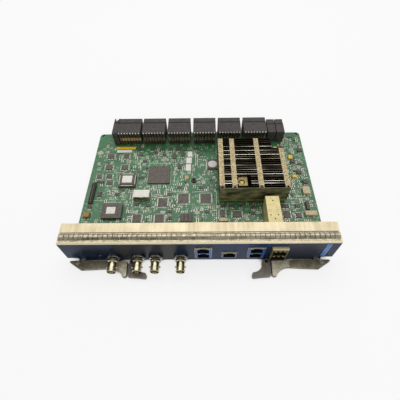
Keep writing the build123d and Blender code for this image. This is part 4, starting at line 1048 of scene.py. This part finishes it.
# %% One tab, then four rows
tab_width, tab_length, tab_height, slot_rim, slot_depth = 5.7, 3.05, 0.22, 0.75, 0.16
tab = pattern_block("fin_tab", tab_width, tab_length, tab_height)
select_faces(tab, lambda one: one.normal.z > 0.9)
bpy.ops.mesh.inset(thickness=slot_rim * MM)
bpy.ops.transform.resize(value=(0.45, 0.5, 1))
bpy.ops.mesh.extrude_region_move(TRANSFORM_OT_translate={"value": (0, 0, -slot_depth * MM)})
leave_edit()
strip_middles, fins_with_tabs = (26.0, 39.9, 69.4, 98.4), range(1, 23)
notch_left, notch_front = 88.0, 127.0
tab_places = []
for x in strip_middles:
    for fin in fins_with_tabs:
        fin_depth = sink_front + fin * fin_pitch
        if x < notch_left or fin_depth < notch_front:
            tab_places.append((x, fin_depth + 2.0, fin_top, 0))
dress(copies(tab, "fin_tabs", tab_places), "tab_sheet")
print("tabs", len(tab_places))


# %% [markdown]
# ## Pressure block round the spring screw
# In the pocket of the fins stands a brass-coloured block that reaches nearly to the fins' top, with a
# round hole over the spring screw's head. The hole is a cylinder taken away with a boolean modifier.

# %% Pressure block
boss_top = 15.7
screw_x, screw_depth, screw_width = footprints("spring_screws")[0][0:3]
pressure_block = start_block("pressure_block", 44.5, 55.0, 74.6, 88.6, boss_top, fin_top - 3.6)
soften(pressure_block, 0.7)
clear_selection()
bpy.ops.mesh.primitive_cylinder_add(vertices=40, radius=(screw_width / 2 + 0.4) * MM, depth=40 * MM,
                                    location=spot(screw_x, screw_depth, boss_top + 12))
bore = bpy.context.object
hole = pressure_block.modifiers.new("screw_hole", "BOOLEAN")
hole.object = bore
hole.operation = "DIFFERENCE"
bpy.context.view_layer.objects.active = pressure_block
bpy.ops.object.modifier_apply(modifier=hole.name)
bpy.data.objects.remove(bore)
dress(pressure_block, "sink_base_metal")
print("pressure block has", len(pressure_block.data.polygons), "faces")


# %% [markdown]
# ## Contacts inside the ports and connectors
# Eight sprung wires slope up and forward in each network port, spring fingers line the cage's mouth, and
# the rear faces of the connectors show pairs of gilt blades in their slots. The places of the ports come
# from the openings in the record.

# %% Port wires
def port_boxes(holds):
    found = [one["box_m"] for one in record["physics"]["openings"] if holds in one["holds"]]
    return [[value / MM for value in low + high] for low, high in found]


wire = pattern_block("port_wire", 0.45, 0.5, 0.35)
draw_out(wire, -1, ((2.6, 0.9), (4.6, 2.9), (0.7, -0.5)))
wire_count, wire_pitch = 8, 1.02
wire_places = []
for left, front, low, right, rear, high in port_boxes("network plug"):
    for number in range(wire_count):
        offset = (number - (wire_count - 1) / 2) * wire_pitch
        wire_places.append(((left + right) / 2 + offset, rear - face - 0.4, low + 3.6, 0))
dress(copies(wire, "port_wires", wire_places), "gilt_brass")
print("port wires", len(wire_places))

# %% Spring fingers in the mouth of the cage
finger = pattern_block("mouth_finger", 2.0, 0.5, 0.25)
draw_out(finger, 1, ((2.4, -0.5), (2.6, 0.35)))
finger_places = []
for left, front, low, right, rear, high in port_boxes("transceiver"):
    finger_places += [((left + right) / 2 + shift, front - face + 0.4, high - 0.5, 0)
                      for shift in (-4.6, 0, 4.6)]
dress(copies(finger, "cage_mouth_fingers", finger_places), "tinned_steel")
print("mouth fingers", len(finger_places))

# %% Gilt blades in the rear slots
blade = pattern_block("rear_blade", 0.32, 4.2, 0.8)
narrow_end(blade, 1, 1, (0.4, 1, 0.5))
blade_rows, blade_bottom, blade_step = 8, 4.0, 2.25
blade_places = [(x + side, connector_rear - 3.6, blade_bottom + row * blade_step, 0)
                for x in wafer_middles(connector_centres)
                for side in (-0.55, 0.55) for row in range(blade_rows)]
dress(copies(blade, "rear_blades", blade_places), "gilt_brass")
wide_blade = pattern_block("power_blade", 5.4, 4.4, 0.45)
narrow_end(wide_blade, 1, 1, (0.85, 1, 0.5))
power_places = []
for name in ("power_module_1", "power_module_2"):
    power_places += [(middle_of(name), connector_rear - 3.7, board_top + lift, 0) for lift in (2.0, 3.6)]
dress(copies(wide_blade, "power_blades", power_places), "gilt_brass")
print("blades", len(blade_places) + len(power_places))

# %% Soldered pin ends under the board, and tinned tips on the header
board_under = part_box("circuit_board")[0].z / MM
pin_end = pattern_block("pin_end", 0.8, 0.8, 0.95)
narrow_end(pin_end, 2, -1, (0.45, 0.45, 1))
pin_rows, pin_row_step = 6, 2.9
pin_places = [(x, connector_front + 2.5 + row * pin_row_step, board_under - 0.9, 0)
              for x in wafer_middles(connector_centres) for row in range(pin_rows)]
dress(copies(pin_end, "pin_ends", pin_places), "solder_tin")
header_x, header_depth = footprints("pin_header")[0][0:2]
header_pitch, header_pins = 2.54, 12
tip = pattern_block("header_tip", 0.8, 0.8, 1.6)
narrow_end(tip, 2, 1, (0.85, 0.85, 1))
tip_z = top_of("pin_header") - 1.5
tip_places = []
for side in (-1, 1):
    for number in range(header_pins):
        along = (number - (header_pins - 1) / 2) * header_pitch
        tip_places.append((header_x + side * header_pitch / 2, header_depth + along, tip_z, 0))
dress(copies(tip, "header_tips", tip_places), "dull_tin")
print("pin ends", len(pin_places), "header tips", len(tip_places))

# %% Contacts along the rim of the chip socket
socket_x, socket_depth, socket_width, socket_length = footprints("chip_socket")[0]
socket_top = top_of("chip_socket")
rim = pattern_block("rim_contact", 0.7, 1.3, 0.3)
narrow_end(rim, 2, 1, (0.7, 0.8, 1))
rim_inset, rim_pitch, rim_count = 0.9, 1.27, 11
across, along = socket_width / 2 - rim_inset, socket_length / 2 - rim_inset
rim_places = []
for number in range(rim_count):
    step = (number - (rim_count - 1) / 2) * rim_pitch
    rim_places += [(socket_x + step, socket_depth + side * along, socket_top, 0) for side in (-1, 1)]
    rim_places += [(socket_x + side * across, socket_depth + step, socket_top, 90) for side in (-1, 1)]
dress(copies(rim, "socket_rim_contacts", rim_places), "solder_tin")
print("rim contacts", len(rim_places))


# %% [markdown]
# ## Light, floor and camera
# The card is shown cut out on white. The floor is pale and turns white where the camera or a reflection
# sees it, yet keeps a soft shadow. One broad lamp above and behind does most of the work, a smaller one
# lights the face from the front right, and the world fills the rest. The camera is set where the
# photograph's perspective puts it: about 310 mm up and 134 mm in front of the face, looking down at 56
# degrees, with a wide lens of 28 mm.

# %% Floor
clear_selection()
bpy.ops.mesh.primitive_plane_add(size=6, location=(0, 0, -0.0002))
floor = bpy.context.object
floor.name = "floor"
paper = bpy.data.materials.new("white_floor")
paper.use_nodes = True
tree = paper.node_tree
tree.nodes.clear()
matt = add_node(tree, "BsdfDiffuse", {"Color": linear("#F2F2F2")})
open_floor = add_node(tree, "AmbientOcclusion", {"Distance": 8 * MM}).outputs["AO"]
# Ambient occlusion dims the glow in narrow gaps, such as between the levers and the panel, as a painted
# shadow.
glow_dimmed_in_gaps = add_node(tree, "MapRange", {"Value": open_floor, "From Min": 0.3, "From Max": 0.52}).outputs["Result"]
glow = add_node(tree, "Emission", {"Strength": glow_dimmed_in_gaps})
ray = add_node(tree, "LightPath")
seen = add_node(tree, "Math", {0: ray.outputs["Is Camera Ray"], 1: ray.outputs["Is Glossy Ray"]},
                {"operation": "MAXIMUM"})
seen = add_node(tree, "Math", {0: seen.outputs[0], 1: ray.outputs["Is Transmission Ray"]},
                {"operation": "MAXIMUM"})
share = add_node(tree, "Math", {0: seen.outputs[0], 1: 0.75}, {"operation": "MULTIPLY"})
shown = add_node(tree, "MixShader", {0: share.outputs[0], 1: matt.outputs[0], 2: glow.outputs[0]})
add_node(tree, "OutputMaterial", {"Surface": shown.outputs[0]})
floor.data.materials.append(paper)
print("floor laid")

# %% World and lamps
world = bpy.data.worlds.new("studio")
scene.world = world
world.use_nodes = True
backdrop = world.node_tree.nodes["Background"]
backdrop.inputs["Color"].default_value = linear("#FFFFFF")
seen_by_camera = add_node(world.node_tree, "LightPath").outputs["Is Camera Ray"]
strength = add_node(world.node_tree, "MapRange", {"Value": seen_by_camera, "To Min": 0.55, "To Max": 1.0})
world.node_tree.links.new(strength.outputs["Result"], backdrop.inputs["Strength"])


def add_lamp(name, location, target, size, power):
    clear_selection()
    bpy.ops.object.light_add(type="AREA", location=location)
    lamp = bpy.context.object
    lamp.name = name
    lamp.data.shape = "RECTANGLE"
    lamp.data.size, lamp.data.size_y = size
    lamp.data.energy = power
    lamp.rotation_euler = (Vector(target) - Vector(location)).to_track_quat("-Z", "Y").to_euler()
    return lamp


add_lamp("key", (0.0, 0.5, 1.1), (0, 0, 0), (1.5, 0.9), 6.8)
add_lamp("front_fill", (0.5, -0.9, 0.7), (0, -0.05, 0), (0.8, 0.5), 1.5)
print("lamps 2")

# %% Camera at the photograph's view
yaw, pitch, roll = -0.0236, 0.9707, 0.0276
ahead = Vector((math.sin(yaw) * math.cos(pitch), math.cos(yaw) * math.cos(pitch), -math.sin(pitch)))
level = Vector((math.cos(yaw), -math.sin(yaw), 0))
below = ahead.cross(level)
right = math.cos(roll) * level + math.sin(roll) * below
down = -math.sin(roll) * level + math.cos(roll) * below
view = Matrix((right, -down, -ahead)).transposed().to_4x4()
camera_x, camera_depth, camera_height = 5.72, -134.44, 307.8
view.translation = spot(camera_x, camera_depth, camera_height)
camera = bpy.data.objects.new("camera", bpy.data.cameras.new("camera"))
scene.collection.objects.link(camera)
camera.matrix_world = view
camera.data.sensor_width = 36
camera.data.lens = 28.06
camera.data.clip_start = 0.01
scene.camera = camera
scene.view_settings.view_transform = "Standard"
print("camera stands", round(camera_height), "mm up")
